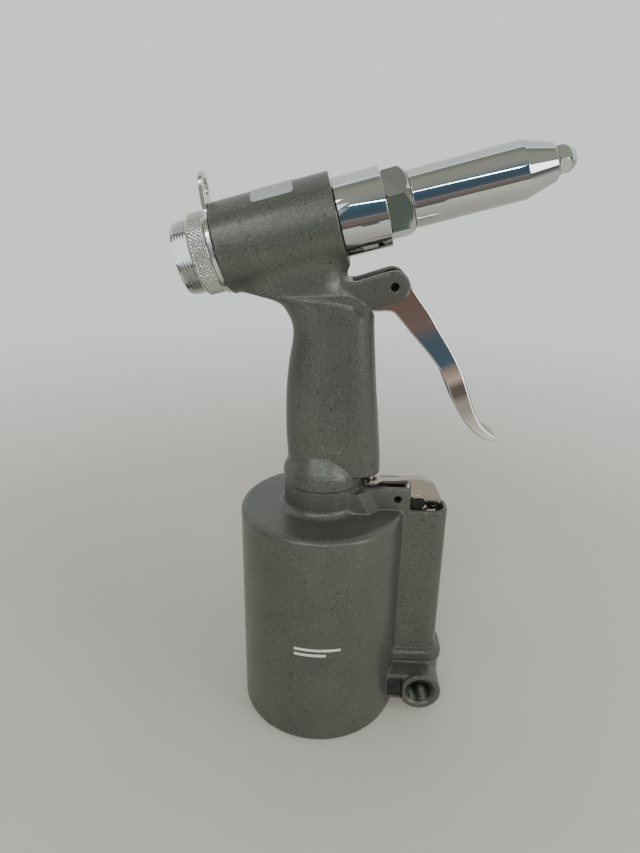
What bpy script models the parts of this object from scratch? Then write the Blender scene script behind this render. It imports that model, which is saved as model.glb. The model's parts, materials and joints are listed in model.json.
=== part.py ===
"""Air-hydraulic hand riveter, built as the real tool comes apart on a bench.

Frame: +X is the way the nose points, +Y is the tool's left side, +Z is up.
The origin is the centre of the face the tool stands on, under the air cylinder.
Every solid is in metres. The head's pieces are turned about the head axis, which
crosses the cylinder's axis at HEAD_HEIGHT and rises towards the nose by HEAD_TILT.
"""

import math

import bmesh
import bpy
from mathutils import Matrix, Vector

MM = 0.001
GAP = 0.3 * MM
WELD = 0.004 * MM

# ---------------------------------------------------------------- driving dimensions
CAN_RADIUS = 38.0 * MM
CAN_HEIGHT = 109.0 * MM
CAN_BORE = 34.5 * MM
CAN_ROOF = 7.0 * MM
NECK_RADIUS = 17.6 * MM
NECK_TOP = 121.2 * MM

COLUMN_HALF = 8.2 * MM
COLUMN_OUTER = 58.2 * MM
COLUMN_TOP = 108.5 * MM
COLUMN_FOOT = 31.0 * MM
BLOCK_HALF = 10.6 * MM
BLOCK_OUTER = 61.2 * MM
BLOCK_BOTTOM = 7.0 * MM
VALVE_BORE = 6.0 * MM
VALVE_X = 50.2 * MM
PORT_X = VALVE_X
PORT_Z = 14.3 * MM
PORT_FACE = 20.0 * MM
PORT_OUTER = 10.1 * MM
PORT_BORE = 5.72 * MM
THREAD_PITCH = 1.34 * MM
THREAD_DEPTH = 0.5 * MM

HEAD_TILT = math.radians(15.1)
HEAD_HEIGHT = 233.9 * MM
BARREL_RADIUS = 18.35 * MM
BARREL_REAR = -44.0 * MM
BARREL_FRONT = 4.3 * MM
HEAD_BORE = 14.2 * MM
LABEL_SPREAD = 40.0
TAIL_FLAT = 13.5 * MM
TAIL_FLAT_TURN = math.radians(-17.0)
TAB_HALF = 6.1 * MM
TAB_BEND = 0.15
TAB_BEND_START = 18.6 * MM
TAB_REAR = -46.2 * MM
TAB_FRONT = -44.3 * MM
HOOK_REACH = 24.2 * MM
HOOK_HOLE = 3.5 * MM
RAM_RADIUS = 6.0 * MM
OIL_BORE = 6.6 * MM

COLLAR_RADIUS = 18.2 * MM
COLLAR_BOTTOM = NECK_TOP + GAP
COLLAR_EDGE = 127.0 * MM
GRIP_BOTTOM = 126.4 * MM
TAIL_RADIUS = 11.6 * MM

TRIGGER_PIVOT = (27.3 * MM, 209.9 * MM)
EAR_HALF = 10.0 * MM
EAR_SLOT_HALF = 6.3 * MM
EAR_ROUND = 6.3 * MM
TRIGGER_HALF = 5.9 * MM
TRIGGER_WALL = 1.5 * MM
PIN_RADIUS = 1.5 * MM
PIN_BORE = 0.85 * MM
PIN_RECESS = 2.0 * MM

LEVER_PIVOT = (34.3 * MM, 114.4 * MM)
CLEVIS_HALF = COLUMN_HALF
CLEVIS_SLOT_HALF = 3.6 * MM
POCKET_FLOOR = 96.0 * MM
LEVER_HALF = 2.2 * MM
LEVER_HUB_HALF = 3.2 * MM
LEVER_THICKNESS = 1.3 * MM
CHEEK_INSET = 0.3 * MM
HUB_INSET = 0.2 * MM

ROD_FOOT_X = 22.0 * MM
ROD_FOOT_Z = 122.0 * MM
ROD_LEAN = 0.0826
ROD_RADIUS = 1.5 * MM

COARSE, MEDIUM, FINE = 12, 20, 32

HEAD_TURN = (0.0, math.pi / 2 - HEAD_TILT, 0.0)
ROD_TURN = (0.0, -math.atan(ROD_LEAN), 0.0)
SIDEWAYS = (math.pi / 2, 0.0, 0.0)


# ---------------------------------------------------------------- materials
def material(name, colour, roughness, metallic):
    """One Principled material: colour, roughness and metallic value."""
    made = bpy.data.materials.new(name)
    made.use_nodes = True
    shader = made.node_tree.nodes["Principled BSDF"]
    shader.inputs["Base Color"].default_value = (*colour, 1.0)
    shader.inputs["Roughness"].default_value = roughness
    shader.inputs["Metallic"].default_value = metallic
    return made


def make_materials():
    return {
        "grey_paint": material("grey_paint", (0.13, 0.135, 0.125), 0.45, 0.5),
        "chrome": material("chrome", (0.80, 0.80, 0.80), 0.06, 1.0),
        "steel": material("steel", (0.50, 0.50, 0.48), 0.3, 1.0),
        "aluminium": material("aluminium", (0.62, 0.62, 0.62), 0.35, 1.0),
        "brass": material("brass", (0.62, 0.45, 0.18), 0.3, 1.0),
        "rubber": material("rubber", (0.02, 0.02, 0.02), 0.7, 0.0),
        "label": material("label", (0.62, 0.64, 0.63), 0.5, 0.0),
    }


# ---------------------------------------------------------------- shape tools
def clear_scene():
    for obj in list(bpy.data.objects):
        bpy.data.objects.remove(obj)


def finish_mesh(bm, name, finish, smooth_angle=35.0):
    """Turns a bmesh into an object whose faces point out."""
    bmesh.ops.remove_doubles(bm, verts=bm.verts, dist=1e-7)
    bmesh.ops.dissolve_degenerate(bm, dist=1e-7, edges=bm.edges)
    bmesh.ops.recalc_face_normals(bm, faces=bm.faces)
    mesh = bpy.data.meshes.new(name)
    bm.to_mesh(mesh)
    bm.free()
    mesh.shade_smooth()
    mesh.set_sharp_from_angle(angle=math.radians(smooth_angle))
    mesh.materials.append(finish)
    obj = bpy.data.objects.new(name, mesh)
    bpy.context.scene.collection.objects.link(obj)
    return obj


def place(obj, location, rotation=(0.0, 0.0, 0.0)):
    obj.location = location
    obj.rotation_euler = rotation
    return obj


def turned(name, outline, finish, segments=MEDIUM):
    """A lathe-turned piece: outline is (radius, height) points about Z.

    An outline that starts and ends on the axis stays open, any other is closed.
    """
    bm = bmesh.new()
    points = [bm.verts.new((r, 0.0, h)) for r, h in outline]
    on_axis = outline[0][0] == 0.0 and outline[-1][0] == 0.0
    pairs = list(zip(points, points[1:]))
    if not on_axis:
        pairs.append((points[-1], points[0]))
    edges = [bm.edges.new(pair) for pair in pairs]
    bmesh.ops.spin(
        bm,
        geom=points + edges,
        axis=(0.0, 0.0, 1.0),
        cent=(0.0, 0.0, 0.0),
        angle=2 * math.pi,
        steps=segments,
        use_merge=True,
    )
    return finish_mesh(bm, name, finish)


def rod(name, radius, low, high, finish, segments=COARSE):
    return turned(name, [(0.0, low), (radius, low), (radius, high), (0.0, high)], finish, segments)


def tube(name, inner, outer, low, high, finish, segments=MEDIUM):
    outline = [(inner, low), (outer, low), (outer, high), (inner, high)]
    return turned(name, outline, finish, segments)


def o_ring(name, radius, section, height, finish, segments=MEDIUM):
    """A ring of round section: radius is that of the section's centre."""
    sides = 6
    outline = [
        (
            radius + section * math.cos(2 * math.pi * i / sides),
            height + section * math.sin(2 * math.pi * i / sides),
        )
        for i in range(sides)
    ]
    return turned(name, outline, finish, segments)


def prism(name, outline, near, far, finish):
    """A flat outline of (x, z) points, extruded along Y from near to far."""
    return loft(name, [[(x, y, z) for x, z in outline] for y in (near, far)], finish)


def plate(name, outline, low, high, finish):
    """A flat outline of (x, y) points, extruded up Z from low to high."""
    return loft(name, [[(x, y, z) for x, y in outline] for z in (low, high)], finish)


def loft(name, rings, finish):
    """A skin over closed rings of the same count, with flat ends."""
    bm = bmesh.new()
    made = [[bm.verts.new(point) for point in ring] for ring in rings]
    count = len(rings[0])
    for low, high in zip(made, made[1:]):
        for i in range(count):
            j = (i + 1) % count
            bm.faces.new((low[i], low[j], high[j], high[i]))
    bm.faces.new(made[0])
    bm.faces.new(made[-1])
    return finish_mesh(bm, name, finish)


def coil(name, radius, wire, low, high, turns, finish):
    """A compression spring of round wire about Z, between low and high."""
    steps, sides = 10, 5
    count = int(turns * steps)
    rings = []
    for i in range(count + 1):
        turn = 2 * math.pi * i / steps
        height = low + wire + (high - low - 2 * wire) * i / count
        out = Vector((math.cos(turn), math.sin(turn), 0.0))
        centre = out * radius + Vector((0.0, 0.0, height))
        rings.append(
            [
                centre
                + out * wire * math.cos(2 * math.pi * k / sides)
                + Vector((0.0, 0.0, wire * math.sin(2 * math.pi * k / sides)))
                for k in range(sides)
            ]
        )
    return loft(name, rings, finish)


def arc(centre, radius, start, end, steps):
    """Points on an arc, in degrees, both ends included."""
    angles = [math.radians(start + (end - start) * i / steps) for i in range(steps + 1)]
    return [(centre[0] + radius * math.cos(a), centre[1] + radius * math.sin(a)) for a in angles]


def boolean(target, other, operation):
    """Applies one exact Boolean and removes the other object."""
    modifier = target.modifiers.new(operation, "BOOLEAN")
    modifier.operation = operation
    modifier.object = other
    modifier.solver = "EXACT"
    bpy.context.view_layer.update()
    evaluated = target.evaluated_get(bpy.context.evaluated_depsgraph_get())
    result = bpy.data.meshes.new_from_object(evaluated)
    result.name = target.name
    target.modifiers.remove(modifier)
    target.data = result
    bpy.data.objects.remove(other)
    return target


def cut(target, *cutters):
    for cutter in cutters:
        boolean(target, cutter, "DIFFERENCE")
    return target


def join(target, *others):
    for other in others:
        boolean(target, other, "UNION")
    return target


def bake(obj):
    """Moves a piece's placement into its mesh."""
    bpy.context.view_layer.update()
    obj.data.transform(obj.matrix_world)
    obj.matrix_world = Matrix()
    return obj


def settle(obj, smooth_angle=35.0):
    """Welds the slivers a piece's Booleans left and shades it again."""
    bm = bmesh.new()
    bm.from_mesh(obj.data)
    bmesh.ops.remove_doubles(bm, verts=bm.verts, dist=WELD)
    bmesh.ops.dissolve_degenerate(bm, dist=WELD, edges=bm.edges)
    bm.to_mesh(obj.data)
    bm.free()
    obj.data.shade_smooth()
    obj.data.set_sharp_from_angle(angle=math.radians(smooth_angle))
    return obj


def hexagon(across_flats, turn=0.0):
    """The six (x, y) corners of a hexagon, turned by an angle in radians."""
    corner = across_flats / math.sqrt(3)
    return [
        (corner * math.cos(turn + k * math.pi / 3), corner * math.sin(turn + k * math.pi / 3))
        for k in range(6)
    ]


def in_mm(points):
    return [(a * MM, b * MM) for a, b in points]


def on_head(obj):
    """Puts a piece that was turned about Z onto the head axis, nose end up."""
    return place(obj, (0.0, 0.0, HEAD_HEIGHT), HEAD_TURN)


def at_x(obj, x):
    return place(obj, (x, 0.0, 0.0))


def across(obj, x, z):
    """Puts a piece that was turned about Z onto a line along Y, its top at -Y."""
    return place(obj, (x, 0.0, z), SIDEWAYS)


def rod_point(z):
    """The pull rod's x at a height."""
    return ROD_FOOT_X - ROD_LEAN * (z - ROD_FOOT_Z)


# ---------------------------------------------------------------- air cylinder
def column_plan(start, outer, half, corner):
    """Plan of a column: flat from start, with two rounded corners at its outer side."""
    near = arc((outer - corner, -half + corner), corner, -90, 0, 4)
    far = [(x, -y) for x, y in reversed(near)]
    return [(start, -half), *near, *far, (start, half)]


def at_height(plan, z):
    return [(x, y, z) for x, y in plan]


def casing_column(paint):
    """The valve column, and the flange, stem, exhaust shelf and inlet boss at its foot."""
    start = CAN_BORE + 1.0 * MM
    column = plate(
        "column",
        column_plan(start, COLUMN_OUTER, COLUMN_HALF, 6.0 * MM),
        26.0 * MM,
        COLUMN_TOP,
        paint,
    )
    inner = column_plan(start, COLUMN_OUTER + 0.6 * MM, BLOCK_HALF - 1.2 * MM, 6.0 * MM)
    outer = column_plan(start, BLOCK_OUTER, BLOCK_HALF, 7.0 * MM)
    steps = (
        (inner, 22.9 * MM),
        (inner, 24.7 * MM),
        (outer, 26.2 * MM),
        (outer, 29.6 * MM),
        (inner, COLUMN_FOOT),
    )
    flange = loft("flange", [at_height(plan, z) for plan, z in steps], paint)
    stem = rod("stem", BLOCK_OUTER - PORT_X, BLOCK_BOTTOM, 25.0 * MM, paint, MEDIUM)
    at_x(stem, PORT_X)
    shelf = [
        *reversed(arc((0.0, 0.0), 36.2 * MM, -29.8, 14, 6)),
        (PORT_X - 1.0 * MM, -18.0 * MM),
        (PORT_X - 1.0 * MM, 9.0 * MM),
    ]
    exhaust = plate("exhaust", shelf, 8.4 * MM, 23.3 * MM, paint)
    boss = rod("boss", PORT_OUTER, -2.0 * MM, PORT_FACE, paint, MEDIUM)
    across(boss, PORT_X, PORT_Z)
    return column, flange, stem, exhaust, boss


def casing_clevis(paint):
    """The rib beside the neck, which narrows into the clevis of the valve lever."""
    foot = in_mm([(8.0, -13.2), (21.4, -13.2), (26.4, -8.2), (40.1, -8.2)])
    top = in_mm([(8.0, -13.2), (16.1, -13.2), (21.2, -8.2), (40.1, -8.2)])
    rings = []
    for side, z in ((foot, 104.0 * MM), (foot, 108.6 * MM), (top, 119.0 * MM)):
        mirrored = [(x, -y) for x, y in reversed(side)]
        rings.append(at_height([*side, *mirrored], z))
    return loft("clevis", rings, paint)


def threaded_port(paint):
    """The inlet's bore, with its thread as plain grooves and a chamfered mouth."""
    outline = [(0.0, 0.0), (PORT_BORE, 0.0)]
    for k in range(8):
        low = PORT_FACE - 1.6 * MM - (8 - k) * THREAD_PITCH
        outline += [
            (PORT_BORE, low),
            (PORT_BORE + THREAD_DEPTH, low + THREAD_PITCH / 2),
            (PORT_BORE, low + THREAD_PITCH),
        ]
    outline += [(PORT_BORE + 2.4 * MM, PORT_FACE + 0.8 * MM), (0.0, PORT_FACE + 0.8 * MM)]
    return across(turned("port", outline, paint), PORT_X, PORT_Z)


def cylinder_casing(mats):
    """The cast can with its neck, valve column, clevis and air inlet, in one piece."""
    paint = mats["grey_paint"]
    roof = CAN_HEIGHT - CAN_ROOF
    outline = [
        (0.0, roof),
        (CAN_BORE, roof),
        (CAN_BORE, 0.0),
        *arc((CAN_RADIUS - 2 * MM, 2 * MM), 2 * MM, -90, 0, 3),
        *arc((CAN_RADIUS - 3 * MM, CAN_HEIGHT - 3 * MM), 3 * MM, 0, 90, 4),
        (NECK_RADIUS + 3.4 * MM, CAN_HEIGHT),
        (NECK_RADIUS + 1.2 * MM, CAN_HEIGHT + 1.0 * MM),
        (NECK_RADIUS + 0.2 * MM, CAN_HEIGHT + 2.6 * MM),
        (NECK_RADIUS, CAN_HEIGHT + 4.2 * MM),
        (NECK_RADIUS, NECK_TOP),
        (0.0, NECK_TOP),
    ]
    casing = turned("cylinder_casing", outline, paint, 40)
    join(casing, *casing_column(paint), casing_clevis(paint))

    tail_bore = rod("tail_bore", 12.0 * MM, roof - 1 * MM, NECK_TOP + 1 * MM, paint, MEDIUM)
    slot_outline = in_mm([(18.4, 110.6), (41.0, 110.6), (41.0, 125.0), (18.4, 125.0)])
    slot = prism("slot", slot_outline, -CLEVIS_SLOT_HALF, CLEVIS_SLOT_HALF, paint)
    pocket_plan = column_plan(38.4 * MM, COLUMN_OUTER - 1.9 * MM, 6.2 * MM, 4.6 * MM)
    pocket = plate("pocket", pocket_plan, POCKET_FLOOR, 126.0 * MM, paint)
    valve_bore = rod("valve_bore", VALVE_BORE, 10.0 * MM, POCKET_FLOOR + 1 * MM, paint, COARSE)
    at_x(valve_bore, VALVE_X)
    seat_outline = in_mm([(34.2, 9.8), (41.4, 9.8), (41.4, 20.6), (34.2, 20.6)])
    silencer_seat = prism("silencer_seat", seat_outline, -20.0 * MM, -12.6 * MM, paint)
    pin_hole = rod("pin_hole", PIN_RADIUS + 0.15 * MM, -12 * MM, 12 * MM, paint, COARSE)
    across(pin_hole, *LEVER_PIVOT)
    cut(casing, tail_bore, slot, pocket, valve_bore)
    cut(casing, threaded_port(paint), silencer_seat, pin_hole)
    return settle(casing)


def cylinder_internals(mats):
    """Everything that goes into the can from below, bottom to top."""
    steel, rubber, alu = mats["steel"], mats["rubber"], mats["aluminium"]
    edge = CAN_BORE - GAP
    cap_outline = [
        (0.0, 0.0),
        (31.0 * MM, 0.0),
        (edge, 1.2 * MM),
        (edge, 6.5 * MM),
        (0.0, 6.5 * MM),
    ]
    cap = turned("cylinder_cap", cap_outline, alu, FINE)
    for side in (-1, 1):
        spanner_hole = rod("spanner_hole", 2.5 * MM, -1 * MM, 4 * MM, alu, COARSE)
        at_x(spanner_hole, side * 22 * MM)
        cut(cap, spanner_hole)
    settle(cap)
    o_ring("cap_seal", CAN_BORE - 2.4 * MM, 0.9 * MM, 7.9 * MM, rubber, FINE)
    tube("piston_bumper", 14 * MM, 26 * MM, 6.9 * MM, 9.2 * MM, rubber, MEDIUM)
    turned(
        "air_piston",
        [
            (RAM_RADIUS + GAP - 1.5 * MM, 14.5 * MM),
            (9.0 * MM, 14.5 * MM),
            (9.0 * MM, 9.5 * MM),
            (CAN_BORE - 0.6 * MM, 9.5 * MM),
            (CAN_BORE - 0.6 * MM, 12.6 * MM),
            (CAN_BORE - 3.6 * MM, 12.6 * MM),
            (CAN_BORE - 3.6 * MM, 16.4 * MM),
            (CAN_BORE - 0.6 * MM, 16.4 * MM),
            (CAN_BORE - 0.6 * MM, 19.5 * MM),
            (RAM_RADIUS + GAP - 1.5 * MM, 19.5 * MM),
        ],
        alu,
        FINE,
    )
    o_ring("air_piston_seal", CAN_BORE - 1.9 * MM, 1.3 * MM, 14.5 * MM, rubber, FINE)
    turned(
        "ram",
        [
            (0.0, 9.6 * MM),
            (4.4 * MM, 9.6 * MM),
            (4.4 * MM, 19.8 * MM),
            (RAM_RADIUS, 19.8 * MM),
            (RAM_RADIUS, 119.0 * MM),
            (RAM_RADIUS - 1 * MM, 120.0 * MM),
            (0.0, 120.0 * MM),
        ],
        steel,
        MEDIUM,
    )
    nut = plate("ram_nut", hexagon(13 * MM), 10.2 * MM, 14.2 * MM, steel)
    cut(nut, rod("nut_bore", 4.4 * MM + GAP, 9 * MM, 16 * MM, steel, COARSE))
    lock = plate("handle_lock_nut", hexagon(32 * MM), 93.0 * MM, 101.6 * MM, steel)
    cut(lock, rod("lock_bore", TAIL_RADIUS + GAP, 90 * MM, 104 * MM, steel, MEDIUM))
    tube("ram_seal", RAM_RADIUS + GAP, 9.2 * MM, 93.0 * MM, 96.6 * MM, rubber, MEDIUM)
    tube("ram_gland", RAM_RADIUS + GAP, 9.2 * MM, 90.2 * MM, 92.7 * MM, mats["brass"], MEDIUM)


# ---------------------------------------------------------------- handle
def grip_ring(z, back, front, half):
    """One section of the grip: an ellipse-like loop, squarer at the front."""
    count = 28
    centre, reach = (back + front) / 2, (front - back) / 2
    ring = []
    for i in range(count):
        turn = 2 * math.pi * i / count
        power = 0.62 if math.cos(turn) > 0 else 0.86
        x = math.copysign(abs(math.cos(turn)) ** power, math.cos(turn))
        y = math.copysign(abs(math.sin(turn)) ** 0.72, math.sin(turn))
        ring.append((centre + reach * x, half * y, z))
    return ring


def handle_casting(mats):
    """The cast handle: head barrel, grip, trigger ears, foot collar and threaded tail."""
    paint = mats["grey_paint"]
    barrel = rod("handle_casting", BARREL_RADIUS, BARREL_REAR, BARREL_FRONT, paint, FINE)
    bake(on_head(barrel))
    sections = [
        (GRIP_BOTTOM / MM, -15.6, 25.9, 13.0),
        (134.0, -16.1, 25.6, 13.6),
        (145.0, -16.8, 24.6, 14.2),
        (156.0, -16.9, 23.6, 14.4),
        (166.0, -16.6, 22.5, 14.4),
        (177.0, -15.5, 21.6, 14.2),
        (187.0, -13.9, 20.8, 13.9),
        (193.0, -14.2, 20.4, 13.8),
        (198.0, -16.4, 20.1, 13.8),
        (202.5, -20.4, 18.5, 13.8),
        (206.5, -27.5, 13.5, 13.8),
        (211.0, -33.0, 9.2, 13.8),
        (218.0, -36.0, 8.4, 13.8),
    ]
    rings = [grip_ring(z * MM, b * MM, f * MM, h * MM) for z, b, f, h in sections]
    grip = loft("grip", rings, paint)
    foot = turned(
        "foot",
        [
            (0.0, COLLAR_BOTTOM),
            (COLLAR_RADIUS, COLLAR_BOTTOM),
            (COLLAR_RADIUS, COLLAR_EDGE),
            (17.2 * MM, 129.4 * MM),
            (16.0 * MM, 131.9 * MM),
            (14.2 * MM, 135.3 * MM),
            (11.4 * MM, 138.4 * MM),
            (0.0, 139.0 * MM),
        ],
        paint,
        FINE,
    )
    tail = rod("tail", TAIL_RADIUS, 90.0 * MM, 125.0 * MM, paint, MEDIUM)
    px, pz = TRIGGER_PIVOT
    ear_outline = [
        *in_mm([(6.0, 212.5), (9.5, 211.6), (12.4, 211.7)]),
        *reversed(arc((px, pz), EAR_ROUND, -62, 104, 9)),
        *in_mm([(22.9, 201.8), (19.5, 200.8), (6.0, 200.8)]),
    ]
    ears = prism("ears", ear_outline, -EAR_HALF, EAR_HALF, paint)
    join(barrel, grip, foot, tail, ears)

    slot_outline = in_mm([(10.2, 197.6), (48.0, 197.6), (48.0, 221.0), (13.0, 214.0), (10.2, 210.6)])
    trigger_slot = prism("trigger_slot", slot_outline, -EAR_SLOT_HALF, EAR_SLOT_HALF, paint)
    rod_hole = rod("rod_hole", ROD_RADIUS + 0.7 * MM, -8 * MM, 84 * MM, paint, COARSE)
    place(rod_hole, (ROD_FOOT_X, 0.0, ROD_FOOT_Z), ROD_TURN)
    ear_hole = rod("ear_hole", PIN_RADIUS + 0.15 * MM, -12 * MM, 12 * MM, paint, COARSE)
    across(ear_hole, px, pz)
    oil_outline = [
        (0.0, 88.0 * MM),
        (9.5 * MM, 88.0 * MM),
        (9.5 * MM, 97.0 * MM),
        (OIL_BORE, 97.0 * MM),
        (OIL_BORE, 226.0 * MM),
        (0.0, 226.0 * MM),
    ]
    oil_bore = turned("oil_bore", oil_outline, paint)
    head_bore = turned(
        "head_bore",
        [
            (0.0, BARREL_REAR - 1 * MM),
            (15.0 * MM, BARREL_REAR - 1 * MM),
            (15.0 * MM, -37.0 * MM),
            (HEAD_BORE, -37.0 * MM),
            (HEAD_BORE, -1.5 * MM),
            (12.6 * MM, -1.5 * MM),
            (12.6 * MM, BARREL_FRONT + 1 * MM),
            (0.0, BARREL_FRONT + 1 * MM),
        ],
        paint,
        FINE,
    )
    on_head(head_bore)
    fill_hole = rod("fill_hole", 2.6 * MM, -20 * MM, -2 * MM, paint, COARSE)
    across(fill_hole, 0.0, 186.0 * MM)
    cut(barrel, trigger_slot, rod_hole, ear_hole, oil_bore, head_bore, fill_hole)
    return settle(barrel, 30.0)


def handle_fittings(mats):
    """The oil filling screw and its washer, and the label on the barrel."""
    screw = turned(
        "oil_fill_screw",
        [
            (0.0, -17.6 * MM),
            (3.8 * MM, -17.6 * MM),
            (4.2 * MM, -17.2 * MM),
            (4.2 * MM, -15.5 * MM),
            (2.3 * MM, -15.5 * MM),
            (2.3 * MM, -8.0 * MM),
            (0.0, -8.0 * MM),
        ],
        mats["steel"],
        COARSE,
    )
    across(screw, 0.0, 186.0 * MM)
    key = plate("key", hexagon(3 * MM), -18.5 * MM, -16.0 * MM, mats["steel"])
    across(key, 0.0, 186.0 * MM)
    cut(screw, key)
    rubber = mats["rubber"]
    washer = tube("oil_fill_washer", 2.6 * MM, 4.6 * MM, -15.2 * MM, -14.3 * MM, rubber, COARSE)
    across(washer, 0.0, 186.0 * MM)
    low, high = -180 - LABEL_SPREAD, -180 + LABEL_SPREAD
    label_outline = [
        *arc((0.0, 0.0), BARREL_RADIUS + 0.32 * MM, low, high, 12),
        *reversed(arc((0.0, 0.0), BARREL_RADIUS + 0.06 * MM, low, high, 12)),
    ]
    on_head(plate("rating_label", label_outline, -26.4 * MM, -9.8 * MM, mats["label"]))


# ---------------------------------------------------------------- head
def rear_cap(chrome):
    """The screwed rear cap: a grip ring, and a tail with two spanner flats."""
    outline = in_mm([
        (6.3, -38.0), (13.9, -38.0), (13.9, -46.5), (16.1, -46.5), (16.5, -46.9),
        (16.5, -53.2), (15.6, -54.2), (14.0, -54.2), (14.0, -55.2), (14.9, -55.6),
        (14.9, -60.4), (14.3, -61.0), (11.0, -61.0), (11.0, -54.0), (6.3, -54.0),
    ])
    cap = turned("rear_cap", outline, chrome, FINE)
    for side in (-1, 1):
        near, far = side * TAIL_FLAT, side * 20 * MM
        corners = [(-20 * MM, near), (20 * MM, near), (20 * MM, far), (-20 * MM, far)]
        flat = plate("flat", corners, -64 * MM, -54.3 * MM, chrome)
        cut(cap, place(flat, (0.0, 0.0, 0.0), (0.0, 0.0, TAIL_FLAT_TURN)))
    settle(cap)
    on_head(cap)


def hanger_tab(chrome):
    """The hanger: a washer behind the barrel, with a drilled ear bent a little forward."""
    middle = (TAB_REAR + TAB_FRONT) / 2
    half_sheet = (TAB_FRONT - TAB_REAR) / 2
    sections = [(15.5 * MM, TAB_HALF), (TAB_BEND_START, TAB_HALF)]
    for angle in (0, 20, 40, 58, 74, 84):
        turn = math.radians(angle)
        sections.append((HOOK_REACH + TAB_HALF * math.sin(turn), TAB_HALF * math.cos(turn)))
    rings = []
    for reach, half in sections:
        along = middle + TAB_BEND * max(reach - TAB_BEND_START, 0.0)
        low, high = along - half_sheet, along + half_sheet
        rings.append([(-reach, -half, low), (-reach, half, low), (-reach, half, high), (-reach, -half, high)])
    hanger = tube("hanger_tab", 14.3 * MM, 17.4 * MM, TAB_REAR, TAB_FRONT, chrome, FINE)
    join(hanger, loft("ear", rings, chrome))
    hook_hole = rod("hook_hole", HOOK_HOLE, -5 * MM, 5 * MM, chrome, FINE)
    hole_middle = middle + TAB_BEND * (HOOK_REACH - TAB_BEND_START)
    place(hook_hole, (-HOOK_REACH, 0.0, hole_middle), (0.0, math.atan(TAB_BEND), 0.0))
    cut(hanger, hook_hole)
    settle(hanger)
    on_head(hanger)


def head_pieces(mats):
    """The hydraulic piston, the caps at both ends, and the nose with its jaws."""
    chrome, steel, rubber = mats["chrome"], mats["steel"], mats["rubber"]
    turned_on = lambda *made: on_head(turned(*made))
    rear_cap(chrome)
    hanger_tab(chrome)
    turned_on(
        "front_sleeve",
        in_mm([
            (6.4, 3.0), (8.4, 3.0), (8.4, -1.0), (12.2, -1.0), (12.2, 4.7), (15.3, 4.7),
            (15.5, 4.9), (15.5, 22.9), (15.3, 23.1), (10.6, 23.1), (10.6, 7.5), (6.4, 7.5),
        ]),
        chrome,
        FINE,
    )
    nut = turned(
        "frame_lock_nut",
        in_mm([(10.5, 23.5), (14.0, 23.5), (14.0, 30.4), (11.8, 33.0), (10.5, 33.0)]),
        chrome,
        FINE,
    )
    flats = hexagon(24 * MM, math.radians(-105))
    boolean(nut, plate("nut_flats", flats, 20 * MM, 38 * MM, chrome), "INTERSECT")
    on_head(nut)
    turned_on(
        "frame_head",
        in_mm([
            (8.4, 8.2), (10.2, 8.2), (10.2, 33.3), (11.05, 33.3), (11.05, 77.0), (7.4, 88.8),
            (6.0, 89.6), (3.7, 89.6), (3.7, 83.0), (8.4, 77.5),
        ]),
        chrome,
        FINE,
    )
    nose = turned(
        "nose_piece",
        in_mm([
            (1.7, 81.0), (3.4, 81.0), (3.4, 89.9), (6.0, 89.9),
            (6.0, 92.6), (4.6, 95.2), (3.0, 96.8), (1.7, 96.8),
        ]),
        steel,
        MEDIUM,
    )
    flats = hexagon(10.4 * MM, math.radians(-95))
    boolean(nose, plate("nose_flats", flats, 78 * MM, 99 * MM, steel), "INTERSECT")
    on_head(nose)
    turned_on(
        "head_piston",
        in_mm([
            (3.9, -46.0), (6.0, -46.0), (6.0, -14.0), (13.9, -14.0), (13.9, -10.6), (11.6, -10.6),
            (11.6, -7.4), (13.9, -7.4), (13.9, -4.0), (6.0, -4.0), (6.0, 34.0), (3.9, 34.0),
        ]),
        steel,
    )
    on_head(o_ring("head_piston_seal", 12.9 * MM, 1.1 * MM, -9.0 * MM, rubber))
    on_head(tube("rod_seal", 6.2 * MM, 8.1 * MM, -0.8 * MM, 2.6 * MM, rubber))
    on_head(coil("head_return_spring", 10.2 * MM, 0.8 * MM, -37.4 * MM, -14.4 * MM, 4, steel))
    on_head(tube("jaw_case_lock_nut", 6.3 * MM, 7.9 * MM, 27.0 * MM, 31.5 * MM, steel))
    turned_on(
        "jaw_case",
        in_mm([
            (6.3, 31.8), (7.9, 31.8), (7.9, 74.0), (6.6, 76.2), (3.2, 76.2),
            (5.5, 66.0), (5.5, 34.3), (6.3, 34.3),
        ]),
        steel,
    )
    turned_on(
        "jaw_pusher",
        in_mm([(1.9, 54.0), (5.1, 54.0), (5.1, 57.0), (3.9, 57.0), (2.6, 64.5), (1.9, 64.5)]),
        steel,
    )
    on_head(coil("jaw_spring", 4.3 * MM, 0.6 * MM, 35.5 * MM, 53.6 * MM, 5, steel))
    for k in range(3):
        jaw(k, steel)


def jaw(k, finish):
    """One of three serrated jaws: a third of a cone, bored for the mandrel."""
    spread = 54.0
    middle = 120.0 * k
    rings = []
    for height, outer in ((65.4 * MM, 5.1 * MM), (75.8 * MM, 3.0 * MM)):
        inner = 1.35 * MM
        loop = [
            *arc((0.0, 0.0), outer, middle - spread, middle + spread, 6),
            *reversed(arc((0.0, 0.0), inner, middle - spread, middle + spread, 3)),
        ]
        rings.append([(x, y, height) for x, y in loop])
    on_head(loft(f"jaw_{k + 1}", rings, finish))


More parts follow.
